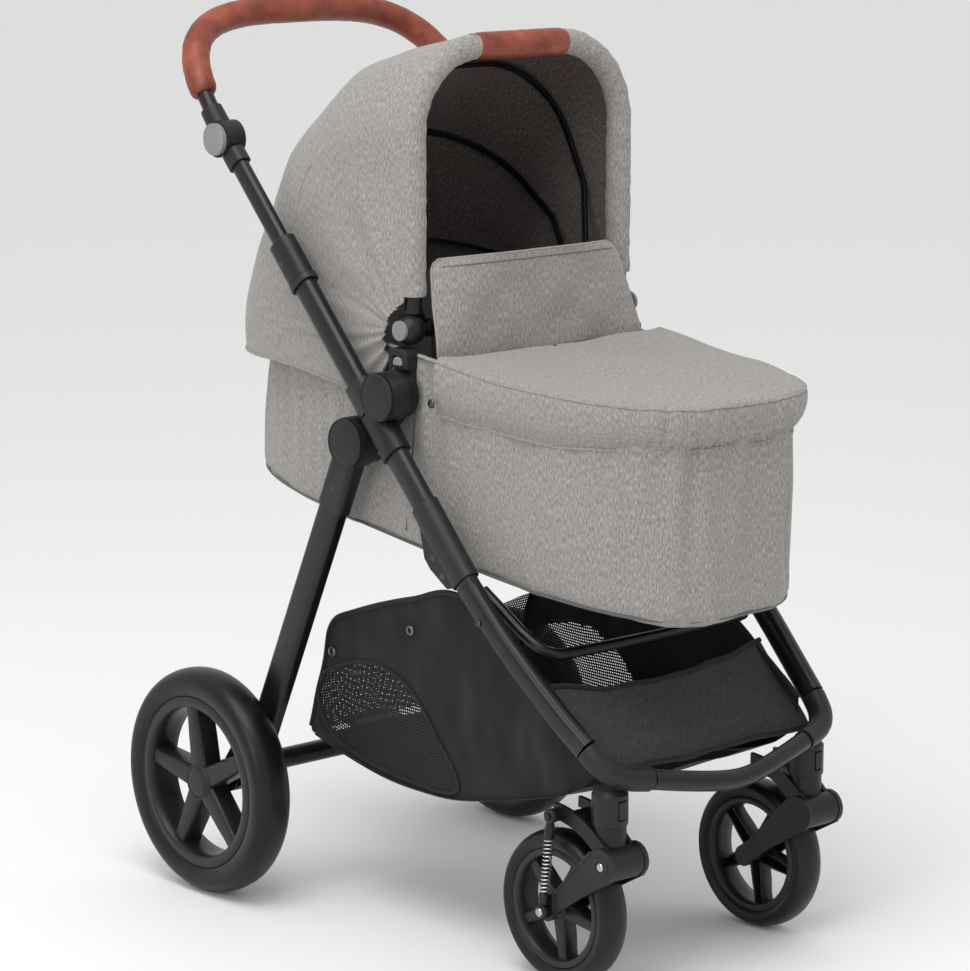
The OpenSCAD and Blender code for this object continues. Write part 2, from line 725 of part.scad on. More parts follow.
module front_hoop() {
    bar = hoop_d / 2;
    color("#1d1e20") canopy_frame(0) {
        both_sides() {
            translate([hoop_half_w, 0, 19.2]) cylinder(h = hoop_r - hoop_corner - 19.2, r = bar);
            translate([hoop_half_w - hoop_corner, 0, hoop_r - hoop_corner]) rotate([90, 0, 0])
                rotate_extrude(angle = 90) translate([hoop_corner, 0]) circle(bar);
        }
        translate([hoop_corner - hoop_half_w, 0, hoop_r]) rotate([0, 90, 0])
            cylinder(h = 2 * (hoop_half_w - hoop_corner), r = bar);
    }
}

// Ball housings at the hoop's ends, bored for the pivot pins and the buttons
module canopy_joints() {
    color("#3c3d41") both_sides() difference() {
        translate([hoop_half_w + 6, canopy_pivot[0], canopy_pivot[1]]) sphere(19);
        x_cylinder(canopy_pivot, 20, hoop_half_w + 21, 220);
        x_cylinder(canopy_pivot, 13, hoop_half_w + 16, 220);
        x_cylinder(canopy_pivot, 20, 100, hoop_half_w - 11);
        x_cylinder(canopy_pivot, pin_r + run, 100, hoop_half_w + 10);
    }
}

module canopy_button(side) {
    color("#b9bbbd") on_side(side)
        x_cylinder(canopy_pivot, 12, hoop_half_w + 19.5, hoop_half_w + 24);
}

// Steel pins on the bassinet's rim that the canopy turns on
module canopy_pivots() {
    color("#8a8c8f") both_sides() {
        x_cylinder(canopy_pivot, pin_r, 134, hoop_half_w + 9);
        x_plate([[-8, 700], [8, 700], [8, 752], [-8, 752]], 128, 134);
        x_plate([[-8, 700], [8, 700], [8, 705], [-8, 705]], 133, bassinet_w / 2 - shell_wall);
    }
}

carry_half = 72.5;
module carry_bar() {
    inner = hoop_d / 2 + gap;
    color("#8a4330") canopy_frame(0) translate([0, 0, hoop_r]) rotate([0, 90, 0]) rotate_extrude()
        polygon([[inner, -carry_half], [14, -carry_half], [16, 6 - carry_half], [16.5, 0],
            [16, carry_half - 6], [14, carry_half], [inner, carry_half]]);
}

front_tubes();
front_crossbar();
corner_joints();
caster_sockets();
hub_brackets();
lower_clamps();
support_bar();
basket();
fold_hubs();
upper_tubes();
telescope_collars();
inner_tubes();
tilt_housings();
handle_tube();
tilt_heads();
handle_grip();
tilt_button(-1);  // tilt_button_left
tilt_button(1);  // tilt_button_right
rear_legs();
leg_hubs();
rear_crossbar();
axle_brackets();
brake_pedal();
rear_tyre(-1);  // rear_tyre_left
rear_tyre(1);  // rear_tyre_right
rear_rim(-1);  // rear_rim_left
rear_rim(1);  // rear_rim_right
caster_button(-1);  // caster_button_left
caster_button(1);  // caster_button_right
caster_fork(-1);  // caster_fork_left
caster_fork(1);  // caster_fork_right
caster_arm(-1);  // caster_arm_left
caster_arm(1);  // caster_arm_right
caster_spring(-1);  // caster_spring_left
caster_spring(1);  // caster_spring_right
front_tyre(-1);  // front_tyre_left
front_tyre(1);  // front_tyre_right
front_rim(-1);  // front_rim_left
front_rim(1);  // front_rim_right
bassinet_shell();
base_board();
mattress();
apron();
apron_flap();
seat_adapters();
adapter_button(-1);  // adapter_button_left
adapter_button(1);  // adapter_button_right
canopy_pivots();
rear_rib();
canopy_back();
middle_rib_2();
canopy_gore_3();
middle_rib_1();
canopy_gore_2();
front_hoop();
canopy_joints();
canopy_gore_1();
carry_bar();
canopy_button(-1);  // canopy_button_left
canopy_button(1);  // canopy_button_right
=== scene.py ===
import json
import math

import bmesh
import bpy
import numpy as np
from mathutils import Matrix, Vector, noise


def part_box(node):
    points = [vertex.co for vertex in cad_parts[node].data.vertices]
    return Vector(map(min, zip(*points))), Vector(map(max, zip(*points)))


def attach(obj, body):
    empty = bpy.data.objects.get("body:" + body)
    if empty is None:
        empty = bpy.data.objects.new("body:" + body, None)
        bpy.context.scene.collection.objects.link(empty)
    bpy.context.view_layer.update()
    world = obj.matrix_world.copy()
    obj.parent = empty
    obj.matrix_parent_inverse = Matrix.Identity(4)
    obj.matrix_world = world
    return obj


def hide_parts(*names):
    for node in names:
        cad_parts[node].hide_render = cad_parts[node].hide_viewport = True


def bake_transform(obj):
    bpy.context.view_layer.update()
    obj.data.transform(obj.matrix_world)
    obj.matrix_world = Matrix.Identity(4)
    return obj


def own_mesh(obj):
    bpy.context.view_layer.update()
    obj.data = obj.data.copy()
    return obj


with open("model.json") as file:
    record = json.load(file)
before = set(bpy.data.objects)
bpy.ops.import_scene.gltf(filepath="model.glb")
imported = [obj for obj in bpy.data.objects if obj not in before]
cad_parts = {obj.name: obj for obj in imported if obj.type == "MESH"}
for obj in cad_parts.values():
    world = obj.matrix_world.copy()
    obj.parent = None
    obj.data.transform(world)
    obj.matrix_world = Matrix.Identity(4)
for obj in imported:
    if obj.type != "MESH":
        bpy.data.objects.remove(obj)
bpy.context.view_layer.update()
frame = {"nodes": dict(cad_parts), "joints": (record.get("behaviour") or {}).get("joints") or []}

mm = 0.001
joints = {j["name"]: j for j in frame["joints"]}
sides = {"left": -1, "right": 1}


# ---- Frame tubes ----
# The side tubes, legs, crossbars and the canopy hoop are aluminium tube, bent, flattened to
# an oval and powder coated in satin black. The coat bakes to a faint orange peel, which
# breaks up the long highlights a little.

def linear(hex_colour):
    """An sRGB hex colour as linear RGBA."""
    channels = [int(hex_colour[i:i + 2], 16) / 255 for i in (1, 3, 5)]
    return [c / 12.92 if c <= 0.04045 else ((c + 0.055) / 1.055) ** 2.4 for c in channels] + [1.0]


def add(tree, kind, inputs=None, stops=(), **settings):
    """Adds a node with its properties, a colour ramp's (position, hex colour) stops, and inputs.

    Each input is given a value or a link.
    """
    made = tree.nodes.new(kind)
    for name, value in settings.items():
        setattr(made, name, value)
    if stops:
        elements = made.color_ramp.elements
        while len(elements) < len(stops):
            elements.new(0.5)
        for element, (position, colour) in zip(elements, stops):
            element.position = position
            element.color = linear(colour)
    for key, value in (inputs or {}).items():
        if isinstance(value, bpy.types.NodeSocket):
            tree.links.new(value, made.inputs[key])
        else:
            made.inputs[key].default_value = value
    return made


def new_material(name, **surface):
    """A material with its shader. Values that are the same all over are set on its sockets."""
    made = bpy.data.materials.new(name)
    made.use_nodes = True
    shader = made.node_tree.nodes["Principled BSDF"]
    for key, value in surface.items():
        shader.inputs[key.replace("_", " ")].default_value = value
    return made, made.node_tree, shader


def moulded_or_coated(name, dark, pale, roughness, grain, depth, coat=0.0, metallic=0.0):
    """A hard surface: a little lighter on its convex edges, which is a painted highlight, with a fine grain
    in its gloss.
    """
    made, tree, shader = new_material(name, Metallic=metallic, Coat_Weight=coat, Coat_Roughness=0.25,
                                      Specular_IOR_Level=0.32)
    place = add(tree, "ShaderNodeTexCoord").outputs["Object"]
    peel = add(tree, "ShaderNodeTexNoise", {"Vector": place, "Scale": 1 / grain, "Detail": 2.0})
    handled = 45 * mm
    broad = add(tree, "ShaderNodeTexNoise", {"Vector": place, "Scale": 1 / handled, "Detail": 3.0})
    # Convex edges are given a paler colour: a painted highlight along the edges
    painted_edge_highlight = add(tree, "ShaderNodeMapRange", {
        "Value": add(tree, "ShaderNodeNewGeometry").outputs["Pointiness"],
        "From Min": 0.52, "From Max": 0.62, "To Max": 0.6})
    cloud = add(tree, "ShaderNodeMath", {0: broad.outputs["Fac"], 1: 0.45}, operation="MULTIPLY")
    total = add(tree, "ShaderNodeMath", {0: cloud.outputs[0], 1: painted_edge_highlight.outputs[0]}, operation="ADD")
    colour = add(tree, "ShaderNodeValToRGB", {"Fac": total.outputs[0]}, stops=[(0.1, dark), (0.9, pale)])
    tree.links.new(colour.outputs["Color"], shader.inputs["Base Color"])
    uneven = 0.05
    gloss = add(tree, "ShaderNodeMapRange", {
        "Value": broad.outputs["Fac"], "From Min": 0.3, "From Max": 0.7,
        "To Min": roughness - uneven, "To Max": roughness + uneven})
    tree.links.new(gloss.outputs[0], shader.inputs["Roughness"])
    bump = add(tree, "ShaderNodeBump", {"Height": peel.outputs["Fac"], "Distance": depth, "Strength": 1.0})
    tree.links.new(bump.outputs[0], shader.inputs["Normal"])
    return made


# Baked powder gives a deep satin black, with an even, very shallow orange peel in the highlight
powder_coat = moulded_or_coated("powder_coated_aluminium", "#0b0b0c", "#1d1d1f", 0.3, 1.6 * mm, 0.02 * mm,
                                coat=0.12)


def finish_cad(material, *names, edge=0.7 * mm):
    """Gives CAD nodes their material, smooth shading and a small rounding on sharp edges."""
    for name in names:
        part = frame["nodes"][name]
        part.data.materials.clear()
        part.data.materials.append(material)
        if "custom_normal" in part.data.attributes:
            part.data.attributes.remove(part.data.attributes["custom_normal"])
        part.data.polygons.foreach_set("use_smooth", [True] * len(part.data.polygons))
        weld = part.modifiers.new("weld", "WELD")
        weld.merge_threshold = 0.01 * mm
        rounding = part.modifiers.new("edges", "BEVEL")
        rounding.width = edge
        rounding.segments = 2
        rounding.limit_method = "ANGLE"
        rounding.angle_limit = math.radians(32)
        rounding.harden_normals = True


finish_cad(powder_coat, "front_tubes", "front_crossbar", "support_bar", "upper_tubes", "inner_tubes",
           "handle_tube", "rear_crossbar", "front_hoop", "rear_legs")


# ---- Joint castings ----
# The hubs, clamps, collars, caster sockets and brackets are glass-filled nylon, injection
# moulded in dark grey. The tool is spark-eroded, so the faces have a fine matt grain and the
# edges catch a soft light.

# The glass in it and the eroded tool leave a dull, finely pitted dark grey
nylon = moulded_or_coated("moulded_glass_filled_nylon", "#151517", "#2e2e31", 0.42, 0.9 * mm, 0.03 * mm)
# Unfilled nylon takes more of the tool's polish, so it is blacker and a little glossier
nylon_black = moulded_or_coated("moulded_black_nylon", "#0f0f10", "#242426", 0.38, 0.9 * mm, 0.03 * mm)

finish_cad(nylon, "corner_joints", "caster_sockets", "lower_clamps", "telescope_collars",
           "tilt_housings", "tilt_heads", "axle_brackets", "seat_adapters", "leg_hubs", edge=1.2 * mm)
finish_cad(nylon_black, "hub_brackets", "fold_hubs", "brake_pedal", edge=1.0 * mm)


# ---- Hub caps ----
# Each fold hub and leg hub is closed by a round cap that snaps into the barrel. It is a
# slightly domed disc of dark grey nylon inside a thin rim, with a narrow groove between them.

def piece(name, points, faces, material, body, uv=None, weld=True):
    """A mesh object with smooth shading that rides on a CAD body."""
    mesh = bpy.data.meshes.new(name)
    mesh.from_pydata([tuple(p) for p in points], [], [tuple(f) for f in faces])
    if uv is not None:
        layer = mesh.uv_layers.new(name="cloth")
        index = np.zeros(len(mesh.loops), np.int32)
        mesh.loops.foreach_get("vertex_index", index)
        layer.data.foreach_set("uv", np.asarray(uv, float).reshape(-1, 2)[index].ravel())
    if weld:
        work = bmesh.new()
        work.from_mesh(mesh)
        bmesh.ops.remove_doubles(work, verts=work.verts, dist=0.01 * mm)
        bmesh.ops.recalc_face_normals(work, faces=work.faces)
        work.to_mesh(mesh)
        work.free()
    mesh.polygons.foreach_set("use_smooth", [True] * len(mesh.polygons))
    made = bpy.data.objects.new(name, mesh)
    bpy.context.scene.collection.objects.link(made)
    mesh.materials.append(material)
    if body:
        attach(made, body)
    return made


def grid_faces(rows, columns, wrap_rows=False):
    """Faces of a grid of points, with its last row joined to its first if wrapped."""
    faces = []
    for i in range(rows if wrap_rows else rows - 1):
        row, below = i * columns, (i + 1) % rows * columns
        faces += [(row + j, row + j + 1, below + j + 1, below + j) for j in range(columns - 1)]
    return faces


def turned(name, profile, place, side, material, body, steps=72):
    """Turns (radius, x) points about an axis along X. x runs outwards from the place."""
    rows = [[(place[0] + side * x, place[1] + r * math.cos(a), place[2] + r * math.sin(a))
             for r, x in profile]
            for a in np.linspace(0, 2 * math.pi, steps, endpoint=False)]
    faces = grid_faces(steps, len(profile), True)
    return piece(name, np.reshape(rows, (-1, 3)), faces, material, body)


hub_radius = {"fold_hub": 29.5 * mm, "leg_hub": 31 * mm}
hub_edge = 1.2 * mm
ring_width = 3 * mm
for hub, joint, body in (("fold_hub", "frame_fold", "upper_frame"),
                         ("leg_hub", "rear_leg_fold", "rear_frame")):
    rim = hub_radius[hub] - hub_edge
    groove = rim - ring_width
    dome = [(0, 1.9 * mm), (groove * 0.5, 1.6 * mm), (groove * 0.85, 1.0 * mm), (groove - 0.6 * mm, 0.6 * mm)]
    channel = [(groove, -0.4 * mm), (groove + 1.3 * mm, -0.5 * mm), (groove + 1.6 * mm, 0.7 * mm)]
    barrel = [(rim - 0.6 * mm, 1.0 * mm), (rim, 0.3 * mm), (rim, -4 * mm), (rim - 2 * mm, -4.2 * mm)]
    x, y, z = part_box(f"{hub}s")[1].x, *joints[joint]["pos_m"][1:]
    for word, side in sides.items():
        turned(f"{hub}_cap_{word}", dome + channel + barrel, (side * x, y, z), side, nylon, body)


# ---- Screws and rivets ----
# Dome-head steel rivets and cross-head screws, blackened, hold the hub sockets, legs, clamps
# and collars to the tubes. Each stands about a millimetre and a half proud.

# The black oxide is thin, so the heads stay metallic: dark in the hollows, with a painted highlight
# lightening the crown
blackened_steel = moulded_or_coated("blackened_steel", "#2b2b2d", "#8a8a8c", 0.3, 0.8 * mm, 0.01 * mm,
                                    metallic=1.0)
tube_direction = Vector(joints["handle_slide"]["axis"]).normalized()
tube_normal = Vector((0, -tube_direction.z, tube_direction.y))
tube_foot = Vector((0, 23, 649)) * mm
head_rings = [(0, 1.5), (0.45, 1.3), (0.8, 0.8), (1.0, 0.1), (1.25, 0.0), (1.3, -0.8)]
head_steps = 20


def rivet_row(name, spots, radius, body):
    """Dome heads on both sides of the stroller, at (outer x, y, z) places."""
    for word, side in sides.items():
        points, faces = [], []
        for x, y, z in spots:
            first = len(points)
            for a in np.linspace(0, 2 * math.pi, head_steps, endpoint=False):
                points += [(side * (x + h * mm), y + r * radius * math.cos(a), z + r * radius * math.sin(a))
                           for r, h in head_rings]
            faces += [[first + i for i in f] for f in grid_faces(head_steps, len(head_rings), True)]
        piece(f"{name}_{word}", points, faces, blackened_steel, body)


def on_tube(along, across=0.0):
    """The side view place at a distance along the side tube from its foot."""
    spot = tube_foot + tube_direction * along + tube_normal * across
    return spot.y, spot.z


clamp_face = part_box("lower_clamps")[1].x
for name, spots, radius, body in (
        ("clamp", [(-3.2, -153, -11), (-3, -196, -21), (-3, -222, -21)], 3.4 * mm, "chassis"),
        ("socket", [(0.7, -50, -9), (-3.3, -298, -6)], 3.2 * mm, "chassis"),
        ("collar", [(0.1, 228, -7)], 3.2 * mm, "upper_frame")):
    rivet_row(f"{name}_rivets", [(clamp_face + out * mm, *on_tube(along * mm, across * mm))
                                 for out, along, across in spots], radius, body)
leg_joint = Vector(joints["rear_leg_fold"]["pos_m"])
leg_slope = math.radians(65.3)
leg_direction = Vector((0, math.cos(leg_slope), -math.sin(leg_slope)))
leg_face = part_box("rear_legs")[1].x
rivet_row("leg_rivets", [(leg_face + out, *(leg_joint + leg_direction * along)[1:])
                         for out, along in ((1.6 * mm, 66 * mm), (-0.3 * mm, 300 * mm))],
          3.6 * mm, "rear_frame")


# ---- Wheels ----
# Five-spoke rims of grey-black glass-filled nylon, with a round cap over the axle end. The
# tyres are moulded foam rubber, smooth all over, with a plain wall and a rounded crown.

# Ribs and spokes are drawn straight from the tool, with a satin dark grey skin
rim_nylon = moulded_or_coated("moulded_rim_nylon", "#161617", "#302f31", 0.36, 1.1 * mm, 0.02 * mm)
# The foam's closed skin is smooth and black, with a soft broad highlight round the crown
foam_rubber = moulded_or_coated("moulded_foam_rubber", "#0b0b0c", "#19191a", 0.36, 1.4 * mm, 0.03 * mm)
spoke_count = 5
# Stations across a spoke, as (share of its width, share of its depth): a channel open at the back
spoke_section = [(-0.5, -0.75), (-0.5, 0.72), (-0.42, 0.94), (-0.3, 1.0), (0.3, 1.0), (0.42, 0.94),
                 (0.5, 0.72), (0.5, -0.75), (0.34, -0.75), (0.3, 0.5), (-0.3, 0.5), (-0.34, -0.75),
                 (-0.5, -0.75)]


def wheel(name, tyre, rim, body, side, rim_share, hub, first_spoke, spokes_out, spoke_widths):
    """A tyre, a rim bed, a hub with its cap, and five spokes, about the axis of the CAD tyre."""
    low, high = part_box(tyre)
    middle, radius, half = (low + high) / 2, (high.z - low.z) / 2, (high.x - low.x) / 2
    place = tuple(middle)
    bed = radius * rim_share
    wall = [(bed, half * 0.84), (bed + 0.04 * radius, half * 0.95), (bed + 0.09 * radius, half),
            (radius - 0.09 * radius, half * 0.99), (radius - 0.055 * radius, half * 0.87),
            (radius - 0.022 * radius, half * 0.62), (radius - 0.006 * radius, half * 0.32), (radius, 0)]
    seat = bed - 2 * mm
    outline = wall + [(r, -x) for r, x in wall[-2::-1]] + [(seat, -half * 0.8), (seat, half * 0.8), wall[0]]
    rubber = turned(f"{name}_tyre", outline, place, side, foam_rubber, body, 128)
    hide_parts(tyre)
    smooth = rubber.modifiers.new("round", "SUBSURF")
    smooth.levels = smooth.render_levels = 1
    face = half * 0.86
    inner = bed - 0.1 * radius
    outer = bed - 0.6 * mm
    ring = [(outer, -face), (outer, face - 1.5 * mm), (bed - 1.4 * mm, face), (inner + 2 * mm, face),
            (inner, face - 1.6 * mm), (inner - 1.5 * mm, face * 0.3), (inner - 1.5 * mm, -face * 0.4),
            (inner, -face + 1.5 * mm), (inner + 2 * mm, -face), (outer, -face)]
    rim_bed = turned(f"{name}_rim_bed", ring, place, side, rim_nylon, body, 128)
    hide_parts(rim)
    hub_face = spokes_out + 1.2 * mm
    boss = [(0, -half + 2 * mm), (hub * 0.7, -half + 2 * mm), (hub * 0.75, 0),
            (hub + 2.4 * mm, hub_face - 4 * mm), (hub + 1.6 * mm, hub_face),
            (hub + 0.5 * mm, hub_face + 0.3 * mm), (hub, hub_face - 0.7 * mm),
            (hub - 0.7 * mm, hub_face - 0.7 * mm), (hub - 1.1 * mm, hub_face + 0.9 * mm),
            (hub * 0.6, hub_face + 1.6 * mm), (0, hub_face + 1.9 * mm)]
    turned(f"{name}_hub", boss, place, side, rim_nylon, body)
    points, faces = [], []
    wide, narrow = spoke_widths
    stations = [(hub * 0.8, wide), (hub + 8 * mm, wide * 0.92), ((hub + inner) / 2, (wide + narrow) / 2),
                (inner - 10 * mm, narrow), (inner + 0.5 * mm, narrow * 1.12)]
    for k in range(spoke_count):
        angle = math.radians(first_spoke + 360 / spoke_count * k)
        out = Vector((0, math.cos(angle), math.sin(angle)))
        across = Vector((0, -math.sin(angle), math.cos(angle)))
        first = len(points)
        for along, width in stations:
            for a, h in spoke_section:
                depth = spokes_out * (h if h > 0 else h * 0.9)
                points.append(middle + out * along + across * (a * width) + Vector((side * depth, 0, 0)))
        faces += [[first + i for i in f] for f in grid_faces(len(stations), len(spoke_section))]
    spokes = piece(f"{name}_spokes", points, faces, rim_nylon, body)
    softened = spokes.modifiers.new("edges", "BEVEL")
    softened.width = 0.6 * mm
    softened.segments = 2
    softened.angle_limit = math.radians(30)


wheel_sizes = {"rear": (0.765, 21 * mm, 81.6, 17 * mm, (30 * mm, 21 * mm)),
               "front": (0.78, 13 * mm, 46, 12 * mm, (20 * mm, 14 * mm))}
for word, side in sides.items():
    for end, sizes in wheel_sizes.items():
        wheel(f"{end}_wheel_{word}", f"{end}_tyre_{word}", f"{end}_rim_{word}", f"{end}_wheel_{word}", side,
              *sizes)


# ---- Casters ----
# Each front wheel trails from a black nylon fork on a vertical stem. The arm turns on a
# barrel, and a coil spring of bright steel wire on a thin guide rod holds it down.

finish_cad(nylon_black, "caster_fork_left", "caster_fork_right", edge=1.2 * mm)
finish_cad(nylon, "caster_arm_left", "caster_arm_right", "caster_button_left", "caster_button_right",
           edge=1.0 * mm)
# Drawn wire with bright zinc on it mirrors the light in a thin line along each turn
spring_wire = moulded_or_coated("zinc_plated_spring_wire", "#9a9a9b", "#e4e4e2", 0.24, 0.6 * mm, 0.01 * mm,
                                metallic=1.0)
coil_turns, coil_radius, wire = 14, 5.0 * mm, 0.95 * mm
coil_low, coil_top = 24 * mm, 92 * mm
turn_steps = 16
eye_radius = 7.5 * mm
spring_ring = [(3.2 * mm, -4.5 * mm), (7.6 * mm, -4.5 * mm), (8.6 * mm, -3.5 * mm), (8.6 * mm, 3.5 * mm),
               (7.6 * mm, 4.5 * mm), (3.2 * mm, 4.5 * mm), (3.2 * mm, -4.5 * mm)]
bolt = [(0, 2.2 * mm), (3.2 * mm, 1.9 * mm), (5.0 * mm, 1.0 * mm), (5.4 * mm, -0.5 * mm), (5.4 * mm, -3 * mm)]
collar = [(7.5 * mm, 0.2 * mm), (8.2 * mm, 1.3 * mm), (11 * mm, 1.3 * mm), (11.8 * mm, 0.2 * mm),
          (12 * mm, -1 * mm)]


def frames_along(path):
    """Two directions across a path at each of its points, turned as little as possible."""
    path = np.asarray(path, float)
    ways = np.gradient(path, axis=0)
    ways /= np.linalg.norm(ways, axis=1)[:, None]
    start = np.cross(ways[0], (0, 0, 1) if abs(ways[0][2]) < 0.9 else (0, 1, 0))
    firsts = [start / np.linalg.norm(start)]
    for way in ways[1:]:
        turned_on = firsts[-1] - way * np.dot(firsts[-1], way)
        firsts.append(turned_on / np.linalg.norm(turned_on))
    return np.array(firsts), np.cross(ways, firsts)


def tube(name, path, radius, material, body, around=16, shape=None, capped=True):
    """A round tube along a path. shape(along, angle) adds to the radius where it is given."""
    path = np.asarray(path, float)
    first, second = frames_along(path)
    step = np.r_[0, np.cumsum(np.linalg.norm(np.diff(path, axis=0), axis=1))]
    radii = np.broadcast_to(radius, len(path))
    rows, uv = [], []
    for i, centre in enumerate(path):
        for a in np.linspace(0, 2 * math.pi, around + 1):
            r = radii[i] + (shape(step[i], a) if shape else 0)
            rows.append(centre + r * (math.cos(a) * first[i] + math.sin(a) * second[i]))
            uv.append((radii[i] * a, step[i]))
    faces = grid_faces(len(path), around + 1)
    if capped:
        faces.append(tuple(range(around)))
        faces.append(tuple((len(path) - 1) * (around + 1) + j for j in range(around)))
    return piece(name, rows, faces, material, body, uv, weld=capped)


def turned_about(name, profile, start, direction, material, body, steps=24):
    """Turns (radius, distance) points about any line."""
    path = [Vector(start) + Vector(direction) * h for r, h in profile]
    way = np.array(Vector(direction).normalized())
    first = np.cross(way, (0, 0, 1) if abs(way[0]) > 0.9 else (1, 0, 0))
    first /= np.linalg.norm(first)
    second = np.cross(way, first)
    rows = [np.array(p) + profile[i][0] * (math.cos(a) * first + math.sin(a) * second)
            for a in np.linspace(0, 2 * math.pi, steps, endpoint=False) for i, p in enumerate(path)]
    return piece(name, rows, grid_faces(steps, len(profile), True), material, body)


for word, side in sides.items():
    low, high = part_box(f"caster_spring_{word}")
    axle = Vector(joints[f"front_wheel_spin_{word}"]["pos_m"])
    foot = Vector(((low.x + high.x) / 2, axle.y, axle.z))
    eye = Vector((foot.x, low.y + eye_radius, high.z - eye_radius))
    reach = eye - foot
    way = reach.normalized()
    across = Vector((1, 0, 0))
    other = way.cross(across)
    path = []
    for k in range(coil_turns * turn_steps + 1):
        a = 2 * math.pi * k / turn_steps
        along = coil_low + (coil_top - coil_low) * k / (coil_turns * turn_steps)
        path.append(foot + way * along + coil_radius * (math.cos(a) * across + math.sin(a) * other))
    coil = tube(f"caster_spring_coil_{word}", path, wire, spring_wire, f"caster_{word}", 8)
    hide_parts(f"caster_spring_{word}")
    guide = [(0, 7 * mm), (4 * mm, 8 * mm), (6 * mm, 12 * mm), (6 * mm, 22 * mm), (2.6 * mm, 24 * mm),
             (2.6 * mm, 90 * mm), (6.2 * mm, 92 * mm), (6.2 * mm, 104 * mm), (4.5 * mm, 112 * mm),
             (3 * mm, reach.length)]
    rod = turned_about(f"caster_spring_guide_{word}", guide, foot, way, nylon_black, f"caster_{word}")
    for part in (coil, rod):
        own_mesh(part)
    turned(f"caster_spring_eye_{word}", spring_ring, tuple(eye), side, nylon_black, f"caster_{word}",
           32)
    turned(f"caster_spring_foot_{word}", spring_ring, tuple(foot), side, nylon_black, f"caster_arm_{word}",
           32)
    turned(f"caster_axle_bolt_{word}", bolt, (foot.x + side * 5.8 * mm, foot.y, foot.z), side, spring_wire,
           f"caster_arm_{word}", 32)
    barrel = Vector(joints[f"caster_spring_travel_{word}"]["pos_m"])
    arm_face = barrel.x + side * 29 * mm
    turned(f"caster_pivot_bolt_{word}", bolt, (arm_face + side * 0.6 * mm, barrel.y, barrel.z), side,
           spring_wire, f"caster_arm_{word}", 32)
    turned(f"caster_pivot_collar_{word}", collar, (arm_face, barrel.y, barrel.z), side, nylon,
           f"caster_arm_{word}", 48)
    edge_line = [(arm_face, barrel.y + 17 * mm, barrel.z + 13 * mm)]
    edge_line += [(arm_face, axle.y - back * mm, axle.z + up * mm)
                  for back, up in ((11, 22), (13, 14), (12, 2))]
    tube(f"caster_arm_ridge_{word}", edge_line, 1.3 * mm, nylon, f"caster_arm_{word}", 10)


# ---- Handle ----
# The handle bow is a bent aluminium tube in a sewn sleeve of brown leather. It turns on two
# nylon tilt joints with a light grey push button in each, at the top of the telescopic tubes.

# Dyed, pebbled hide: the dye takes unevenly, and it shines softly between fine pebbles and creases
leather, tree, shader = new_material("stitched_brown_leather", Roughness=0.44, IOR=1.48)
dye_patch, pebble, crease_width = 28 * mm, 1.8 * mm, 9 * mm
place = add(tree, "ShaderNodeTexCoord").outputs["Object"]
blotch = add(tree, "ShaderNodeTexNoise", {"Vector": place, "Scale": 1 / dye_patch, "Detail": 5.0})
grain = add(tree, "ShaderNodeTexVoronoi", {"Vector": place, "Scale": 1 / pebble}, feature="DISTANCE_TO_EDGE")
crease = add(tree, "ShaderNodeTexNoise", {"Vector": place, "Scale": 1 / crease_width, "Detail": 4.0,
                                          "Distortion": 1.2})
dye = add(tree, "ShaderNodeValToRGB", {"Fac": blotch.outputs["Fac"]},
          stops=[(0.3, "#66291a"), (0.55, "#843b25"), (0.8, "#9d5136")])
tree.links.new(dye.outputs["Color"], shader.inputs["Base Color"])
fine = add(tree, "ShaderNodeBump", {"Height": grain.outputs["Distance"], "Distance": 0.1 * mm,
                                    "Strength": 0.7})
deep = add(tree, "ShaderNodeBump", {"Height": crease.outputs["Fac"], "Distance": 0.5 * mm, "Strength": 0.8,
                                    "Normal": fine.outputs[0]})
tree.links.new(deep.outputs[0], shader.inputs["Normal"])

tilt_axis = Vector(joints["handle_tilt"]["pos_m"])
handle_slope = math.radians(50)
handle_way = Vector((0, math.cos(handle_slope), math.sin(handle_slope)))
bow_half, bow_depth, bow_power = 211 * mm, 190 * mm, 3.4


def bow(degrees):
    """A place on the handle's bow, which is a rounded square in its own sloping plane."""
    c, s = math.cos(math.radians(degrees)), math.sin(math.radians(degrees))
    return tilt_axis + handle_way * (bow_depth * s ** (2 / bow_power)) + Vector(
        (bow_half * math.copysign(abs(c) ** (2 / bow_power), c), 0, 0))


def leather_folds(along, angle):
    """How far the sleeve of leather stands off the tube."""
    spot = Vector((math.cos(angle) * 2, math.sin(angle) * 2, along / (11 * mm)))
    return 0.5 * mm * noise.noise(spot) + 0.35 * mm * noise.noise(spot * 2.3)


path = [bow(a) for a in np.linspace(10, 170, 161)]
grip_radius, stitch_pitch = 17.5 * mm, 5 * mm
radii = np.full(len(path), grip_radius)
radii[:3] = radii[:-4:-1] = (13.5 * mm, 16.3 * mm, 17.2 * mm)
grip = tube("handle_grip_leather", path, radii, leather, "handle", 40, leather_folds)
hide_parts("handle_grip")
inner = [p - (p - tilt_axis - handle_way * 90 * mm).normalized() * 17.3 * mm for p in path[3:-3]]
tube("handle_grip_seam", inner, 1.1 * mm, leather, "handle", 8,
     lambda along, angle: 0.35 * mm * math.sin(along * 2 * math.pi / stitch_pitch))

# Moulded ABS in a pale grey: an even satin face that stands out from the dark housings
button_plastic = moulded_or_coated("moulded_light_grey_buttons", "#77797b", "#999b9d", 0.4, 1.0 * mm,
                                   0.02 * mm)
finish_cad(button_plastic, *(f"{kind}_button_{word}" for kind in ("tilt", "canopy", "adapter")
                             for word in sides), edge=1.2 * mm)


# ---- Basket ----
# The storage basket is a bag of black polyester. Net is sewn into its sides and rear wall,
# with a bound edge round each piece, and it hangs from the tubes and the crossbars.

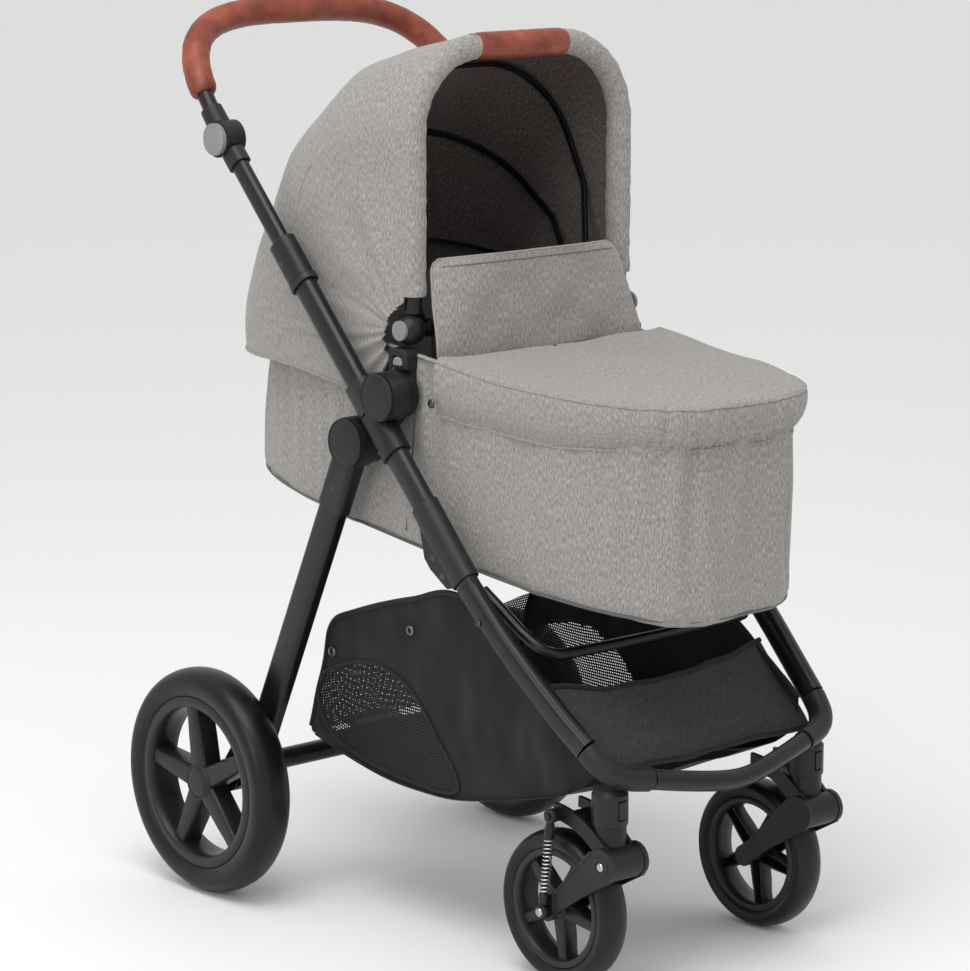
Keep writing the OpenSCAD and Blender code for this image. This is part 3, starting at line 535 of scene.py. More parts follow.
def cloth(name, stops, roughness, weave, slub, sheen, depth):
    """A woven cloth: a slub that runs up the cloth, speckled yarn and a raised weave."""
    made, tree, shader = new_material(name, Roughness=roughness, Sheen_Weight=sheen, Sheen_Roughness=0.5,
                                      Specular_IOR_Level=0.25)
    place = add(tree, "ShaderNodeTexCoord").outputs["UV"]
    drawn_out = add(tree, "ShaderNodeMapping", {"Vector": place, "Scale": (1 / slub[0], 1 / slub[1], 1)})
    yarn = add(tree, "ShaderNodeTexNoise", {"Vector": drawn_out.outputs[0], "Scale": 1.0, "Detail": 5.0,
                                            "Roughness": 0.7})
    dyed = add(tree, "ShaderNodeValToRGB", {"Fac": yarn.outputs["Fac"]}, stops=stops)
    tree.links.new(dyed.outputs["Color"], shader.inputs["Base Color"])
    # The real weave is about 0.5 mm; it is drawn coarser so that it doesn't shimmer.
    # A wave texture of scale s repeats every pi / 10 / s.
    bands = [add(tree, "ShaderNodeTexWave", {"Vector": place, "Scale": math.pi / 10 / weave,
                                             "Distortion": 1.5}, bands_direction=way) for way in ("X", "Y")]
    crossed = add(tree, "ShaderNodeMath", {0: bands[0].outputs["Fac"], 1: bands[1].outputs["Fac"]},
                  operation="MULTIPLY")
    bump = add(tree, "ShaderNodeBump", {"Height": crossed.outputs[0], "Distance": depth, "Strength": 0.8})
    tree.links.new(bump.outputs[0], shader.inputs["Normal"])
    return made


# Dyed all through and closely woven: nearly flat black, with a faint bloom at grazing angles
black_cloth = cloth("woven_black_polyester", [(0.3, "#0a0a0b"), (0.7, "#171719")], 0.85, 1.6 * mm,
                    (2 * mm, 6 * mm), 0.15, 0.1 * mm)
# Black and grey fibres are spun together, so the cloth is flecked in short upright streaks
heather_cloth = cloth("woven_dark_heather", [(0.3, "#19191b"), (0.5, "#29292c"), (0.75, "#434449")], 0.9,
                      1.6 * mm, (2 * mm, 9 * mm), 0.25, 0.1 * mm)
# Narrow tape is woven tighter, so it catches a little more light than the cloth beside it
binding_tape = cloth("woven_binding_tape", [(0.3, "#0e0e10"), (0.7, "#1e1e21")], 0.7, 1.2 * mm,
                     (1.5 * mm, 1.5 * mm), 0.1, 0.12 * mm)

# Knitted in open cells, so that what is behind shows through as a paler grey
net, tree, shader = new_material("knitted_net", Roughness=0.8, Base_Color=linear("#141416"))
net_pitch, thread_share = 4 * mm, 0.3
place = add(tree, "ShaderNodeTexCoord").outputs["UV"]
# The real net has 2 mm holes; they are drawn 4 mm apart so that they can be seen
threads = [add(tree, "ShaderNodeTexWave", {"Vector": place, "Scale": math.pi / 10 / net_pitch},
               bands_direction=way) for way in ("X", "Y")]
nearest = add(tree, "ShaderNodeMath", {0: threads[0].outputs["Fac"], 1: threads[1].outputs["Fac"]},
              operation="MAXIMUM")
cover = add(tree, "ShaderNodeMath", {0: nearest.outputs[0], 1: thread_share}, operation="GREATER_THAN")
tree.links.new(cover.outputs[0], shader.inputs["Alpha"])


def lengths(grid):
    """How far each point of a grid of points lies along its row and along its column."""
    across = np.linalg.norm(np.diff(grid, axis=1), axis=2)
    down = np.linalg.norm(np.diff(grid, axis=0), axis=2)
    u = np.concatenate([np.zeros((len(grid), 1)), np.cumsum(across, axis=1)], axis=1)
    v = np.concatenate([np.zeros((1, grid.shape[1])), np.cumsum(down, axis=0)], axis=0)
    return np.stack([u - u[:, -1:] / 2, v], axis=2)


def outward(grid):
    """The direction across the cloth at each point of a grid."""
    n = np.cross(np.gradient(grid, axis=0), np.gradient(grid, axis=1))
    return n / np.maximum(np.linalg.norm(n, axis=2, keepdims=True), 1e-9)


def panel(name, grid, material, body, turned_uv=False, smooth=1):
    """A piece of cloth from a grid of points, with its flat coordinates in metres."""
    uv = lengths(grid)
    if turned_uv:
        uv = uv[:, :, ::-1]
    made = piece(name, grid.reshape(-1, 3), grid_faces(*grid.shape[:2]), material, body, uv,
                 weld=False)
    if smooth:
        rounding = made.modifiers.new("soft", "SUBSURF")
        rounding.levels = rounding.render_levels = smooth
    return made


def curve(points, count):
    """A smooth curve through points, evenly spaced."""
    p = np.asarray(points, float)
    p = np.vstack([2 * p[0] - p[1], p, 2 * p[-1] - p[-2]])
    out = []
    for i in range(1, len(p) - 2):
        for t in np.linspace(0, 1, 24, endpoint=False):
            a, b, c, d = p[i - 1:i + 3]
            square = 2 * a - 5 * b + 4 * c - d
            cube = 3 * b - a - 3 * c + d
            out.append(0.5 * (2 * b + (c - a) * t + square * t * t + cube * t ** 3))
    out = np.array(out + [p[-2]])
    run = np.r_[0, np.cumsum(np.linalg.norm(np.diff(out, axis=0), axis=1))]
    even = np.linspace(0, run[-1], count)
    return np.stack([np.interp(even, run, out[:, k]) for k in range(out.shape[1])], axis=1)


def wrinkle(point, size, seed=0.0):
    """Smooth noise, mostly from -1 to 1, over a size in metres."""
    return 1.8 * noise.noise(Vector(point) / size + Vector((seed, seed, seed)))


def basket_bends(*parts):
    """Bakes each piece's placement into its mesh. The basket hangs between the front tubes and the rear legs.
    """
    for part in parts:
        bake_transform(part)


basket_top = [(-322, 300), (-215, 372), (-90, 436), (2, 418), (107, 385), (156, 358), (178, 290), (196, 222)]
basket_low = [(-322, 262), (-271, 230), (-179, 204), (-85, 183), (-15, 179), (55, 182), (135, 196),
              (195, 211)]
window = [(172, 295), (116, 317), (49, 324), (-17, 290), (-81, 197), (22, 188), (137, 209), (180, 258)]


def inside(point, outline):
    """Whether a side view point lies inside an outline."""
    hit = False
    for (y1, z1), (y2, z2) in zip(outline, outline[1:] + outline[:1]):
        if (z1 > point[1]) != (z2 > point[1]) and point[0] < (y2 - y1) * (point[1] - z1) / (z2 - z1) + y1:
            hit = not hit
    return hit


def at_side(wall, side, line, out):
    """Places a side view line on the basket's wall, a little outside it."""
    found = []
    for y, z in line:
        near = np.argmin(np.sum((wall[:, :, 1:] - (y, z)) ** 2, axis=2))
        found.append((wall.reshape(-1, 3)[near][0] + side * out, y, z))
    return found


wall_rows, wall_columns = 33, 81
basket_half, base_tuck = 172, 6
low_line, top_line = curve(basket_low, wall_columns) * mm, curve(basket_top, wall_columns) * mm
window_line = curve(window + window[:1], 120) * mm
eyelets = [(152, 325), (2, 379)]
eyelet_ring = [(3.2 * mm, -0.5 * mm), (3.2 * mm, 1.4 * mm), (4.4 * mm, 2.0 * mm), (6.2 * mm, 1.3 * mm),
               (6.6 * mm, 0)]
for word, side in sides.items():
    shares = np.linspace(0, 1, wall_rows)[:, None, None]
    grid = np.zeros((wall_rows, wall_columns, 3))
    grid[:, :, 1:] = low_line[None] * (1 - shares) + top_line[None] * shares
    for i in range(wall_rows):
        tuck = base_tuck * (1 - i / (wall_rows - 1)) ** 4
        for j in range(wall_columns):
            y, z = grid[i, j, 1:]
            sag = wrinkle((0, y, z), 70 * mm, side) * 3.0 + wrinkle((0, y, z * 0.5), 24 * mm, side)
            grid[i, j, 0] = side * (basket_half + sag * min(1, (z - 0.17) * 12) - tuck) * mm
    part = panel(f"basket_side_{word}", grid, black_cloth, None, smooth=0)
    part.data.materials.append(net)
    for face in part.data.polygons:
        middle = sum((part.data.vertices[v].co for v in face.vertices), Vector()) / 4
        face.material_index = int(inside((middle.y / mm, middle.z / mm), window))
    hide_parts("basket")
    edge = tube(f"basket_window_binding_{word}", at_side(grid, side, window_line, 1.0 * mm), 2.4 * mm,
                binding_tape, None, 8)
    rim = tube(f"basket_top_binding_{word}", at_side(grid, side, top_line, 0), 3.2 * mm, binding_tape, None,
               10)
    basket_bends(part, edge, rim)
    for k, (y, z) in enumerate(eyelets):
        spot = (side * (basket_half + 2) * mm, y * mm, z * mm)
        eyelet = turned(f"basket_eyelet_{k}_{word}", eyelet_ring, spot, side, blackened_steel, None,
                        32)
        basket_bends(eyelet)

across = np.linspace(-1, 1, 49)


def bag_wall(name, line, material, half, sag, seed):
    """A wall of the bag that runs across, from a side view line, with a sag in the middle."""
    grid = np.zeros((len(line), len(across), 3))
    for i, (y, z) in enumerate(line):
        share = i / (len(line) - 1)
        for j, u in enumerate(across):
            low = np.array(sag(share)) * (1 - u * u)
            ripple = wrinkle((u * 0.17, y, z), 60 * mm, seed) * 2.5 * mm * (1 - u ** 4)
            grid[i, j] = (u * half, y + low[0] + ripple, z + low[1] + ripple)
    part = panel(name, grid, material, None)
    basket_bends(part)
    return grid


wall_half, front_half = 171 * mm, 178 * mm
bag_wall("basket_floor", low_line[6:], black_cloth, wall_half, lambda s: (0, -3 * mm),
         3)
rear_line = curve([(196, 214), (186, 262), (170, 318), (157, 350)], 20) * mm
bag_wall("basket_rear_net", rear_line, net, wall_half, lambda s: (3 * mm, -12 * mm * s),
         5)
front_line = curve([(-334, 262), (-322, 279), (-296, 304), (-268, 332), (-246, 356)], 24) * mm
grid = bag_wall("basket_front_panel", front_line, heather_cloth, front_half,
                lambda s: (-14 * mm * s, -16 * mm * s), 7)
for name, line, size in (("basket_front_binding", grid[-1], 3.4 * mm),
                         ("basket_front_hem", grid[1], 3.0 * mm)):
    tube(name, line, size, binding_tape, "chassis", 10)


# ---- Bassinet ----
# The bassinet is a stiff boat-shaped body covered in grey melange polyester, with a dark
# piping round its base, a board in its floor, a foam mattress and a pale cotton lining.

# Yarns of dark and light grey are woven together, so it is flecked light on mid grey and quite matt
melange = cloth("woven_grey_melange", [(0.27, "#625f5d"), (0.5, "#8c8986"), (0.73, "#b5b2af")], 0.92,
                1.7 * mm, (1.8 * mm, 7 * mm), 0.2, 0.12 * mm)
# Plain combed cotton: pale, even and without shine
cotton = cloth("woven_pale_cotton", [(0.3, "#8f8d8a"), (0.7, "#a5a3a0")], 0.95, 1.4 * mm, (3 * mm, 3 * mm),
               0.2, 0.08 * mm)
# Tape sewn round a cord: a thin dark line with a slight shine along its crown
piping_cloth = cloth("woven_dark_piping", [(0.3, "#4b4a4a"), (0.7, "#6a6868")], 0.8, 1.2 * mm,
                     (1.5 * mm, 1.5 * mm), 0.2, 0.1 * mm)
# Pressed fibres leave a dull grey board with a soft mottle
board, tree, shader = new_material("pressed_fibre_board", Roughness=0.8)
fibres = add(tree, "ShaderNodeTexNoise", {"Vector": add(tree, "ShaderNodeTexCoord").outputs["Object"],
                                          "Scale": 1 / (6 * mm), "Detail": 6.0})
mottle = add(tree, "ShaderNodeValToRGB", {"Fac": fibres.outputs["Fac"]},
             stops=[(0.3, "#5d5e60"), (0.7, "#77787a")])
tree.links.new(mottle.outputs["Color"], shader.inputs["Base Color"])
finish_cad(board, "base_board")

floor_middle = Vector((0, 18 * mm, 480 * mm))
boat_half_w, boat_half_l, boat_power = 175 * mm, 380 * mm, 3.2
body_height, body_tilt, foot_rake = 242 * mm, 7, 15 * mm


def plan(half_w, half_l, centre, count, start=0.0, end=2 * math.pi):
    """A boat-shaped outline seen from above, evenly spaced, from the left side round the front."""
    t = np.linspace(start, end, 2400)
    c, s = np.cos(t), np.sin(t)
    line = np.stack([-half_w * np.sign(c) * np.abs(c) ** (2 / boat_power),
                     centre - half_l * np.sign(s) * np.abs(s) ** (2 / boat_power)], axis=1)
    run = np.r_[0, np.cumsum(np.linalg.norm(np.diff(line, axis=0), axis=1))]
    even = np.linspace(0, run[-1], count)
    return np.stack([np.interp(even, run, line[:, k]) for k in (0, 1)], axis=1)


def tilted(x, y, z, degrees):
    """From the bassinet's own frame to the stroller's."""
    c, s = math.cos(math.radians(degrees)), math.sin(math.radians(degrees))
    return np.stack([x, floor_middle.y + y * c - z * s, floor_middle.z + y * s + z * c], axis=-1)


def boat_ring(height, inset, count=181):
    """One level of the body. The foot end is upright, so the outline is longer at the base."""
    rake = foot_rake * (1 - height / body_height)
    line = plan(boat_half_w - inset, boat_half_l - inset + rake, -rake, count)
    return tilted(line[:, 0], line[:, 1], np.full(count, height), body_tilt)


wall = [(0.0, 30), (0.5, 20), (3, 10), (8, 4), (16, 0.8), (26, 0), (45, 0)]
wall += [(h, 0) for h in range(65, 235, 15)] + [(238, 0)]
grid = np.array([boat_ring(h * mm, i * mm, 361) for h, i in wall])
away = -outward(grid)
for i, (h, _) in enumerate(wall):
    for j in range(grid.shape[1] - 1):
        x, y, z = grid[i, j]
        rear = max(0, (y - 0.12) * 4)
        foot = max(0, (-y - 0.27) * 9)
        pucker = wrinkle((x, y, z * 0.14), 21 * mm) * (2.4 + 3.0 * rear + 2.2 * foot) * min(1, h / 50)
        pucker += wrinkle((x, y, z * 0.3), 9 * mm) * 0.5
        grid[i, j] += away[i, j] * (wrinkle((x, y, z * 0.6), 80 * mm) * 2.6 + pucker) * mm
grid[:, -1] = grid[:, 0]
body_cloth = panel("bassinet_body_cloth", grid, melange, "bassinet")
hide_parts("bassinet_shell")
base_half_w, base_half_l = boat_half_w - 30 * mm, boat_half_l - 15 * mm
base = np.array([tilted(*plan(base_half_w * k, base_half_l * k, -foot_rake * k, 181).T, np.zeros(181),
                        body_tilt) for k in np.linspace(0.02, 1, 16)])
underside = panel("bassinet_underside", base, heather_cloth, "bassinet")
inner_levels = [(242, -1), (244, 2), (241, 5)] + [(h, 6) for h in range(225, 40, -20)] + [(12, 7)]
lining = panel("bassinet_lining", np.array([boat_ring(h * mm, i * mm) for h, i in inner_levels]), cotton,
               "bassinet")
for name, level, inset, size, cover in (("bassinet_base_piping", 9 * mm, 3.2 * mm, 1.7 * mm, piping_cloth),
                                        ("bassinet_rim_piping", 241 * mm, 0, 2.6 * mm, melange)):
    tube(name, boat_ring(level, inset), size, cover, "bassinet", 8, capped=False)
for word, side in sides.items():
    seam_x = side * (boat_half_w + 0.3 * mm)
    seam = [tilted(seam_x, -8 * mm, h * mm, body_tilt) for h in range(24, 236, 6)]
    tube(f"bassinet_side_seam_{word}", seam, 0.9 * mm, piping_cloth, "bassinet", 6)

# (height, inset) of the foam slab's rounded edge
slab = [(0, 30), (0, 12), (3, 4), (9, 0.5), (16, 0), (23, 0.5), (29, 4), (32, 12), (32.5, 30)]
foam_half_w, foam_half_l, board_top = 162 * mm, 366 * mm, 9.6
around = 120
rings = []
for h, inset in slab:
    line = plan(foam_half_w - inset * mm, foam_half_l - inset * mm, 0, around + 1)[:-1]
    rings.append(tilted(line[:, 0], line[:, 1], np.full(around, (board_top + h) * mm), body_tilt))
points = np.concatenate(rings)
faces = [(i * around + j, i * around + (j + 1) % around, (i + 1) * around + (j + 1) % around,
          (i + 1) * around + j) for i in range(len(slab) - 1) for j in range(around)]
faces += [tuple(range(around)), tuple((len(slab) - 1) * around + j for j in range(around))]
mattress = piece("mattress_cover", points, faces, cotton, None)
swell_frames, swell_limit = 20, 5 * mm
remesh = mattress.modifiers.new("remesh", "REMESH")
remesh.mode = "VOXEL"
remesh.voxel_size = 6 * mm
bpy.context.view_layer.objects.active = mattress
bpy.ops.object.modifier_apply(modifier="remesh")
before = np.array([v.co for v in mattress.data.vertices])
pressed = mattress.modifiers.new("pressed", "CLOTH")
pressed.settings.use_pressure = True
pressed.settings.uniform_pressure_force = 4.0
pressed.settings.effector_weights.gravity = 0.0
pressed.settings.quality = 4
pressed.point_cache.frame_start = 1
pressed.point_cache.frame_end = swell_frames
for frame_number in range(1, swell_frames + 1):
    bpy.context.scene.frame_set(frame_number)
shaped = mattress.evaluated_get(bpy.context.evaluated_depsgraph_get())
after = np.array([v.co for v in shaped.data.vertices])
mattress.modifiers.remove(pressed)
move = after - before
size = np.linalg.norm(move, axis=1, keepdims=True)
after = before + move * np.minimum(1, swell_limit / np.maximum(size, 1e-9))
mattress.data.vertices.foreach_set("co", after.ravel())
mattress.data.update()
bpy.context.scene.frame_set(1)
mattress.data.polygons.foreach_set("use_smooth", [True] * len(mattress.data.polygons))
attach(mattress, "bassinet")
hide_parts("mattress")

# Zinc over turned steel is a cool light grey, with a soft and slightly cloudy shine
zinc_steel = moulded_or_coated("zinc_plated_steel", "#8b8d90", "#c6c8ca", 0.3, 0.8 * mm, 0.01 * mm,
                               metallic=1.0)
finish_cad(zinc_steel, "canopy_pivots")


# ---- Foot cover ----
# The foot cover is a fitted cap of the same melange cloth. It has a piped edge, an elastic
# hem that gathers it under the rim, and a stiffened flap that stands up as a wind break.

# (depth below the rim, how far it stands out) down the skirt, from its rounded edge to the hem
cover_grow = [(0, 10), (1.5, 14), (4.5, 17.5), (10, 19.5), (20, 20.5), (32, 20), (44, 18), (54, 13),
              (60, 7), (66, 4)]
skirt_depth, cover_tilt, first_angle = 66, 4, 0.046
rows = []
for depth, grow in cover_grow:
    line = plan(173 * mm + grow * mm * 0.93, 378 * mm + grow * mm, -8 * mm, 321, first_angle,
                math.pi - first_angle)
    reach = np.clip((-line[:, 1] - 250 * mm) / (120 * mm), 0, 1)
    below = depth * mm * (1 - 0.2 * reach)
    rise = 8 * mm * np.clip((line[:, 1] + 200 * mm) / (150 * mm), 0, 1) ** 2
    level = body_height - below + rise * (1 - depth / skirt_depth)
    rows.append(tilted(line[:, 0], line[:, 1], level, cover_tilt))
skirt = np.array(rows)
middle = np.array([0, skirt[0, 0, 1], (skirt[0, 0, 2] + skirt[0, -1, 2]) / 2])
hollow = 4 * mm
roof = np.array([middle + (skirt[0] - middle) * k - (0, 0, hollow * (1 - k * k))
                 for k in np.linspace(0.02, 0.985, 22)])
roof[-1] += (0, 0, 1.0 * mm)
grid = np.concatenate([roof, skirt])
up = outward(grid)
up *= np.sign(up[10, 160, 2])
pleat_turn = 1.6
for i in range(grid.shape[0]):
    for j in range(grid.shape[1]):
        x, y, z = grid[i, j]
        hem = np.clip((i - len(roof) - 4) / 4, 0, 1)
        foot = np.clip((-y - 0.28) * 9, 0, 1)
        pleat = math.sin(j * pleat_turn + 4 * wrinkle((x, y, z), 60 * mm))
        gather = pleat * (0.5 + 1.9 * foot) * hem
        gather += wrinkle((x, y, z * 0.2), 15 * mm) * 2.6 * foot * min(1, max(0, i - len(roof)) / 3)
        on_roof = 1.4 if i < len(roof) else 1.0
        crown = on_roof * wrinkle((x, y, z), 80 * mm) * 1.6 * min(1, i / 6)
        grid[i, j] += up[i, j] * (gather + crown) * mm
cover = panel("foot_cover_cloth", grid, melange, "bassinet")
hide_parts("apron")
tube("foot_cover_piping", grid[len(roof) + 2], 1.3 * mm, melange, "bassinet", 8)
tube("foot_cover_hem", grid[-1], 2.6 * mm, melange, "bassinet", 8)
snap = [(0, 2.6 * mm), (2.6 * mm, 2.3 * mm), (4.4 * mm, 1.2 * mm), (5.4 * mm, 0.4 * mm), (5.6 * mm, -1 * mm)]
for word, side in sides.items():
    turned(f"foot_cover_snap_{word}", snap, (side * 193 * mm, -60 * mm, 668 * mm), side, blackened_steel,
           "bassinet", 32)

flap_hinge = Vector(joints["flap_fold"]["pos_m"])
flap_height, flap_below, flap_half, flap_taper, flap_corner = 106, 13, 165, 14, 0.18
rows = []
for h in np.linspace(-flap_below, flap_height, 28):
    share = max(0, h / flap_height)
    corner = max(0, share - (1 - flap_corner)) / flap_corner
    half = flap_half - flap_taper * (share + 1 - math.sqrt(max(0, 1 - corner * corner)))
    row = []
    for u in np.linspace(-1, 1, 61):
        bend = 23 * abs(u) ** 5 * share
        ripple = 1.6 * wrinkle((u * 0.16, 0, h * mm), 45 * mm, 4)
        row.append((u * half * mm, flap_hinge.y + (h * 0.087 + bend + ripple) * mm,
                    flap_hinge.z + (h * 0.996 - 3 * u ** 6 * share) * mm))
    rows.append(row)
grid = np.array(rows)
flap = panel("foot_cover_flap_cloth", grid, melange, "apron_flap")
stiff = flap.modifiers.new("layers", "SOLIDIFY")
stiff.thickness = 2.6 * mm
stiff.offset = 0
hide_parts("apron_flap")
edge = np.concatenate([grid[:, 0], grid[-1, 1:-1], grid[::-1, -1]])
tube("foot_cover_flap_edge", edge, 1.8 * mm, melange, "apron_flap", 8)
tube("foot_cover_flap_stitching", grid[-3, 2:-2] - (0, 1.6 * mm, 0), 0.6 * mm, piping_cloth, "apron_flap",
     6)


# ---- Canopy ----
# The canopy is two layers of cloth, grey outside and dark heather inside, over three black
# plastic ribs and the tube hoop. It turns on ball joints, and a leather carry bar tops it.

finish_cad(nylon_black, "middle_rib_1", "middle_rib_2", edge=0.8 * mm)
finish_cad(nylon, "canopy_joints", edge=0.8 * mm)
# Light flecks in a warm dark grey, which the shade inside the hood makes darker still
heather_lining = cloth("woven_brown_grey_lining", [(0.3, "#453f3c"), (0.5, "#5d5653"), (0.72, "#9c948f")],
                       0.95, 1.7 * mm, (1.8 * mm, 5 * mm), 0.25, 0.1 * mm)
pivot = Vector(joints["canopy_fold"]["pos_m"])
hem_line = [(24, 712), (40, 688), (60, 672), (89, 666), (136, 672), (195, 680), (250, 685)]
rib_step, last_rib = 27, 81.0
dip, side_dip = 6.0, 3.5 * mm


def canopy_radius(c):
    """How far the cloth's crown is from the pivot. It dips between one rib and the next."""
    base = np.interp(c, [0, 14, 27, 40, 54, 67, 79, 100], [342, 342, 341, 343, 350, 359, 371, 386])
    return (base - dip * abs(math.sin(math.radians(c / rib_step * 180))) * (c < last_rib)) * mm


def canopy_row(c):
    """The arch of cloth at an angle back from upright: points (x, angle, distance from pivot)."""
    radius = canopy_radius(c)
    corner = np.interp(c, [0, 3, 12, 27, 54, 81], [114, 112, 104, 105, 120, 136]) * mm
    half = (181.5 + 5.0 * min(1, c / 15) + 1.0 * min(1, c / 81)) * mm
    low = (34 - 8 * min(1, c / 20)) * mm
    leg = [(half, low + (radius - corner - low) * t) for t in np.linspace(0, 1, 19)[:-1]]
    bend = [(half - corner + corner * math.cos(a), radius - corner + corner * math.sin(a))
            for a in np.linspace(0, math.pi / 2, 15)[:-1]]
    top = [((half - corner) * (1 - t), radius) for t in np.linspace(0, 1, 10)]
    sink = side_dip * abs(math.sin(math.radians(c / rib_step * 180)))
    leg = [(x - sink * math.sin(math.pi * k / 18), h) for k, (x, h) in enumerate(leg)]
    side = [(-x, h) for x, h in leg + bend + top]
    return np.array([(x, c, h) for x, h in side + [(-x, h) for x, h in side[-2::-1]]])


batten, inside_cloth = canopy_row(last_rib), 7 * mm
batten[:, 0] -= np.sign(batten[:, 0]) * inside_cloth * np.clip(np.abs(batten[:, 0]) / (100 * mm), 0, 1)
batten[:, 2] -= inside_cloth
angle = math.radians(last_rib)
path = [(x, pivot.y + h * math.sin(angle), pivot.z + h * math.cos(angle)) for x, _, h in batten[2:-2]]
rear_batten = tube("rear_rib_batten", path, 3.2 * mm, nylon_black, "bassinet", 12)
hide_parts("rear_rib")


def hem_row():
    """The canopy's lower edge, down both sides and round the head end of the bassinet."""
    hem_half, head_reach, head_rise = 187, 130, 6
    last_y, last_z = hem_line[-1]
    half = [(-hem_half, y, z) for y, z in curve(hem_line, 19)[:-1]]
    for k in np.linspace(0, 1, 24):
        a = k * math.pi / 2
        half.append((-hem_half * math.cos(a) ** 0.72, last_y + head_reach * math.sin(a) ** 0.8,
                     last_z + head_rise * k))
    half[-1] = (0, last_y + head_reach, last_z + head_rise)
    row = half + [(-x, y, z) for x, y, z in half[-2::-1]]
    out = []
    for x, y, z in row:
        dy, dz = y * mm - pivot.y, z * mm - pivot.z
        out.append((x * mm, math.degrees(math.atan2(dy, dz)), math.hypot(dy, dz)))
    return np.array(out)


front_rows = [canopy_row(c) for c in np.arange(1.5, last_rib + 0.1, 1.5)]
rib_row, edge_row = canopy_row(last_rib), hem_row()
for t in np.linspace(0, 1, 25)[1:]:
    row = rib_row * (1 - t) + edge_row * t
    row[:, 2] += 5 * mm * math.sin(math.pi * t) * np.clip(rib_row[:, 2] / (300 * mm), 0, 1)
    front_rows.append(row)
polar = np.array(front_rows)
turn = np.radians(polar[:, :, 1])
base = np.stack([polar[:, :, 0], pivot.y + polar[:, :, 2] * np.sin(turn),
                 pivot.z + polar[:, :, 2] * np.cos(turn)], axis=2)
away = outward(base)
near_top = 38
away *= np.sign(away[20, near_top, 2])
for i in range(base.shape[0]):
    for j in range(base.shape[1]):
        x, c, h = polar[i, j]
        near = math.exp(-h / (80 * mm))
        gathers = wrinkle((0, c / 9, h / 0.4), 1.0, math.copysign(3, x)) * 5.5 * near
        tension = wrinkle((x * 0.4, base[i, j, 1], base[i, j, 2]), 60 * mm) * 1.7 + 0.5
        small = wrinkle((x, base[i, j, 1] * 1.6, base[i, j, 2] * 0.5), 22 * mm, 9) * 0.7
        hold = min(1, i / 2) * (0.35 if i == base.shape[0] - 1 else 1)
        base[i, j] += away[i, j] * (gathers + tension + small) * mm * hold


def canopy_bends(part):
    """Bakes a piece's placement into its mesh. It runs between the hem, which stays on the bassinet, and the
    front hoop.
    """
    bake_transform(part)
    return part


outer = canopy_bends(panel("canopy_cloth", base, melange, None, turned_uv=True))
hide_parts("canopy_gore_1", "canopy_gore_2", "canopy_gore_3", "canopy_back")
layer_gap = 2.2 * mm
inner = canopy_bends(panel("canopy_lining", base - away * layer_gap, heather_lining, None,
                           turned_uv=True))
canopy_bends(tube("canopy_hem", base[-1], 1.8 * mm, melange, None, 8))


def on_canopy(side, line, out):
    """Points on the canopy's side nearest to a side view line, a little outside the cloth."""
    half = slice(0, near_top) if side < 0 else slice(near_top + 1, None)
    flat_points, flat_normals = base[:, half].reshape(-1, 3), away[:, half].reshape(-1, 3)
    found = []
    for y, z in curve(line, 60) * mm:
        gap = np.sum((flat_points[:, 1:] - (y, z)) ** 2, axis=1) + (np.abs(flat_points[:, 0]) < 0.15)
        pick = np.argsort(gap)[:4]
        share = 1 / (gap[pick] + 1e-7)
        spots = flat_points[pick] + flat_normals[pick] * out
        found.append((spots * share[:, None]).sum(axis=0) / share.sum())
        found[-1][1:] = (y, z)
    return found


for word, side in sides.items():
    for name, line in (("front", [(52, 792), (66, 822), (73, 850), (79, 890), (80, 922), (77, 945)]),
                       ("rear", [(173, 932), (184, 917), (191, 900), (198, 863)]),
                       ("band", [(100, 722), (136, 722), (184, 723), (234, 727)])):
        canopy_bends(tube(f"canopy_seam_{name}_{word}", on_canopy(side, line, -0.3 * mm), 1.4 * mm,
                          melange, None, 6))

hoop_half, hoop_radius, hoop_corner = 168 * mm, 331 * mm, 100 * mm
sleeve_radius, sleeve_end = 15.3 * mm, -76 * mm
leg = [(-hoop_half, h) for h in np.linspace(40 * mm, hoop_radius - hoop_corner, 40)]
bend = [(-hoop_half + hoop_corner - hoop_corner * math.cos(a),
         hoop_radius - hoop_corner + hoop_corner * math.sin(a))
        for a in np.linspace(0, math.pi / 2, 30)[1:]]
top = [(x, hoop_radius) for x in np.linspace(-hoop_half + hoop_corner, sleeve_end, 6)[1:]]


def sleeve_folds(along, angle):
    """How far the sleeve's loose cloth stands off the hoop."""
    spot = Vector((math.cos(angle) * 0.9, math.sin(angle) * 0.9, along / (16 * mm)))
    return 1.5 * mm * noise.noise(spot) + 0.7 * mm * noise.noise(spot * 2.1)


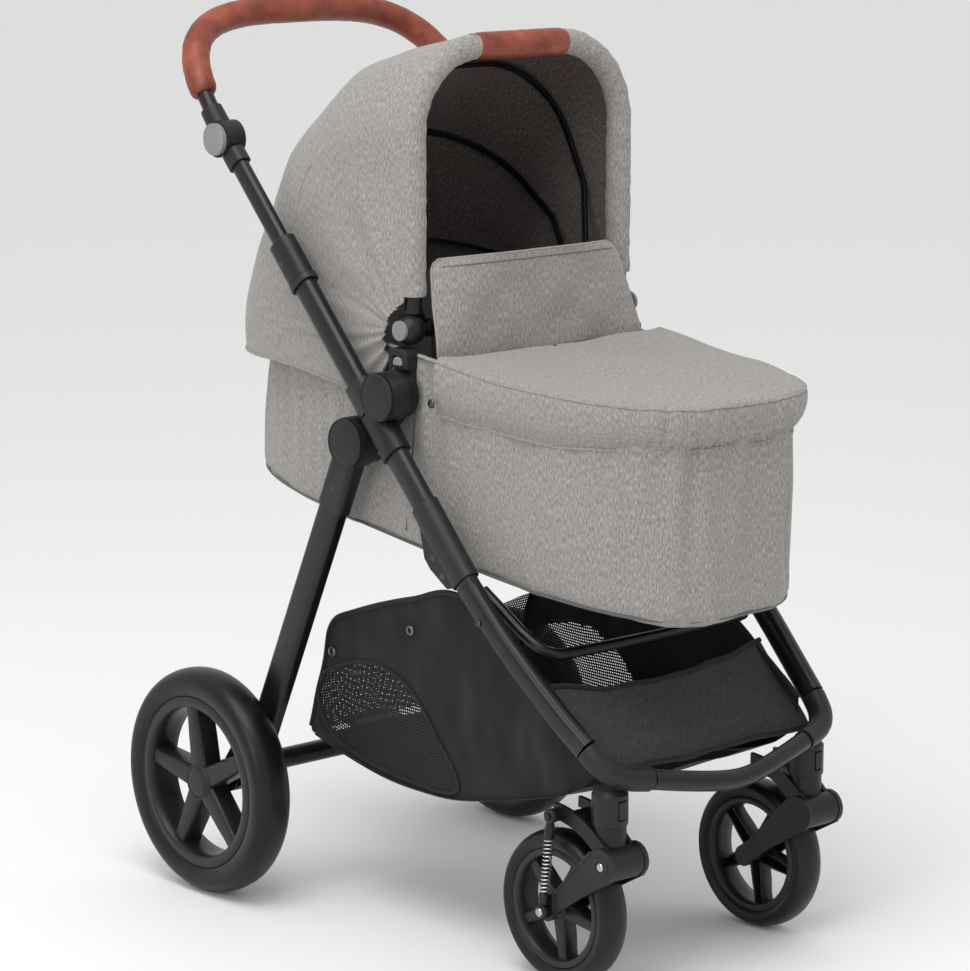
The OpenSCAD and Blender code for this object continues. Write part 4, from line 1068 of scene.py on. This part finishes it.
for word, side in sides.items():
    path = [(-side * x, pivot.y, pivot.z + h) for x, h in leg + bend + top]
    sleeve = tube(f"canopy_hoop_sleeve_{word}", path, sleeve_radius, melange, "canopy_front",
                  32, sleeve_folds, capped=False)
bar = [(11.4 * mm, -73 * mm), (14.2 * mm, -73 * mm), (15.6 * mm, -71 * mm), (16.4 * mm, -66 * mm)]
bar += [(16.9 * mm + 0.4 * mm * noise.noise(Vector((x / 9, 0, 0))), x * mm) for x in range(-60, 61, 3)]
bar += [(r, -x) for r, x in bar[3::-1]]
leather_bar = turned_about("carry_bar_leather", bar, (0, pivot.y, pivot.z + hoop_radius), (1, 0, 0), leather,
                           "canopy_front", 48)
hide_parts("carry_bar")


# ---- Floor, light and camera ----
# A pale seamless floor, one large soft light above, a weaker one in front and an even sky.

# Rolled matt emulsion: an even pale ground that takes a soft shadow and gives no reflection
floor_paint, tree, shader = new_material("pale_studio_floor", Roughness=0.9, Base_Color=linear("#f4f4f3"))
reach = 60
mesh = bpy.data.meshes.new("floor")
mesh.from_pydata([(-reach, -reach, 0), (reach, -reach, 0), (reach, reach, 0), (-reach, reach, 0)], [],
                 [(0, 1, 2, 3)])
mesh.materials.append(floor_paint)
floor = bpy.data.objects.new("floor", mesh)
bpy.context.scene.collection.objects.link(floor)

world = bpy.data.worlds.new("studio")
world.use_nodes = True
world.node_tree.nodes["Background"].inputs["Color"].default_value = linear("#ffffff")
world.node_tree.nodes["Background"].inputs["Strength"].default_value = 0.8
bpy.context.scene.world = world


def soft_light(name, spot, size, watts):
    """A square softbox aimed at the middle of the stroller."""
    light = bpy.data.lights.new(name, "AREA")
    light.size = size
    light.energy = watts
    made = bpy.data.objects.new(name, light)
    made.location = spot
    made.rotation_euler = (Vector((0, 0, 0.5)) - Vector(spot)).to_track_quat("-Z", "Y").to_euler()
    bpy.context.scene.collection.objects.link(made)


soft_light("overhead_softbox", (-1.2, -0.6, 3.2), 2.0, 48)
soft_light("front_softbox", (-3.4, -1.2, 1.9), 1.2, 22)

camera = bpy.data.cameras.new("camera")
camera.sensor_width = 36
camera.lens = 132.39
camera.shift_x = 0.0053
camera.shift_y = 0.0015
camera.dof.use_dof = False
viewer = bpy.data.objects.new("camera", camera)
viewer.location = (-2.910, -3.208, 1.381)
viewer.rotation_euler = Vector((0.6515, 0.734, -0.1919)).to_track_quat("-Z", "Y").to_euler()
bpy.context.scene.collection.objects.link(viewer)
bpy.context.scene.camera = viewer
bpy.context.scene.view_settings.view_transform = "Standard"
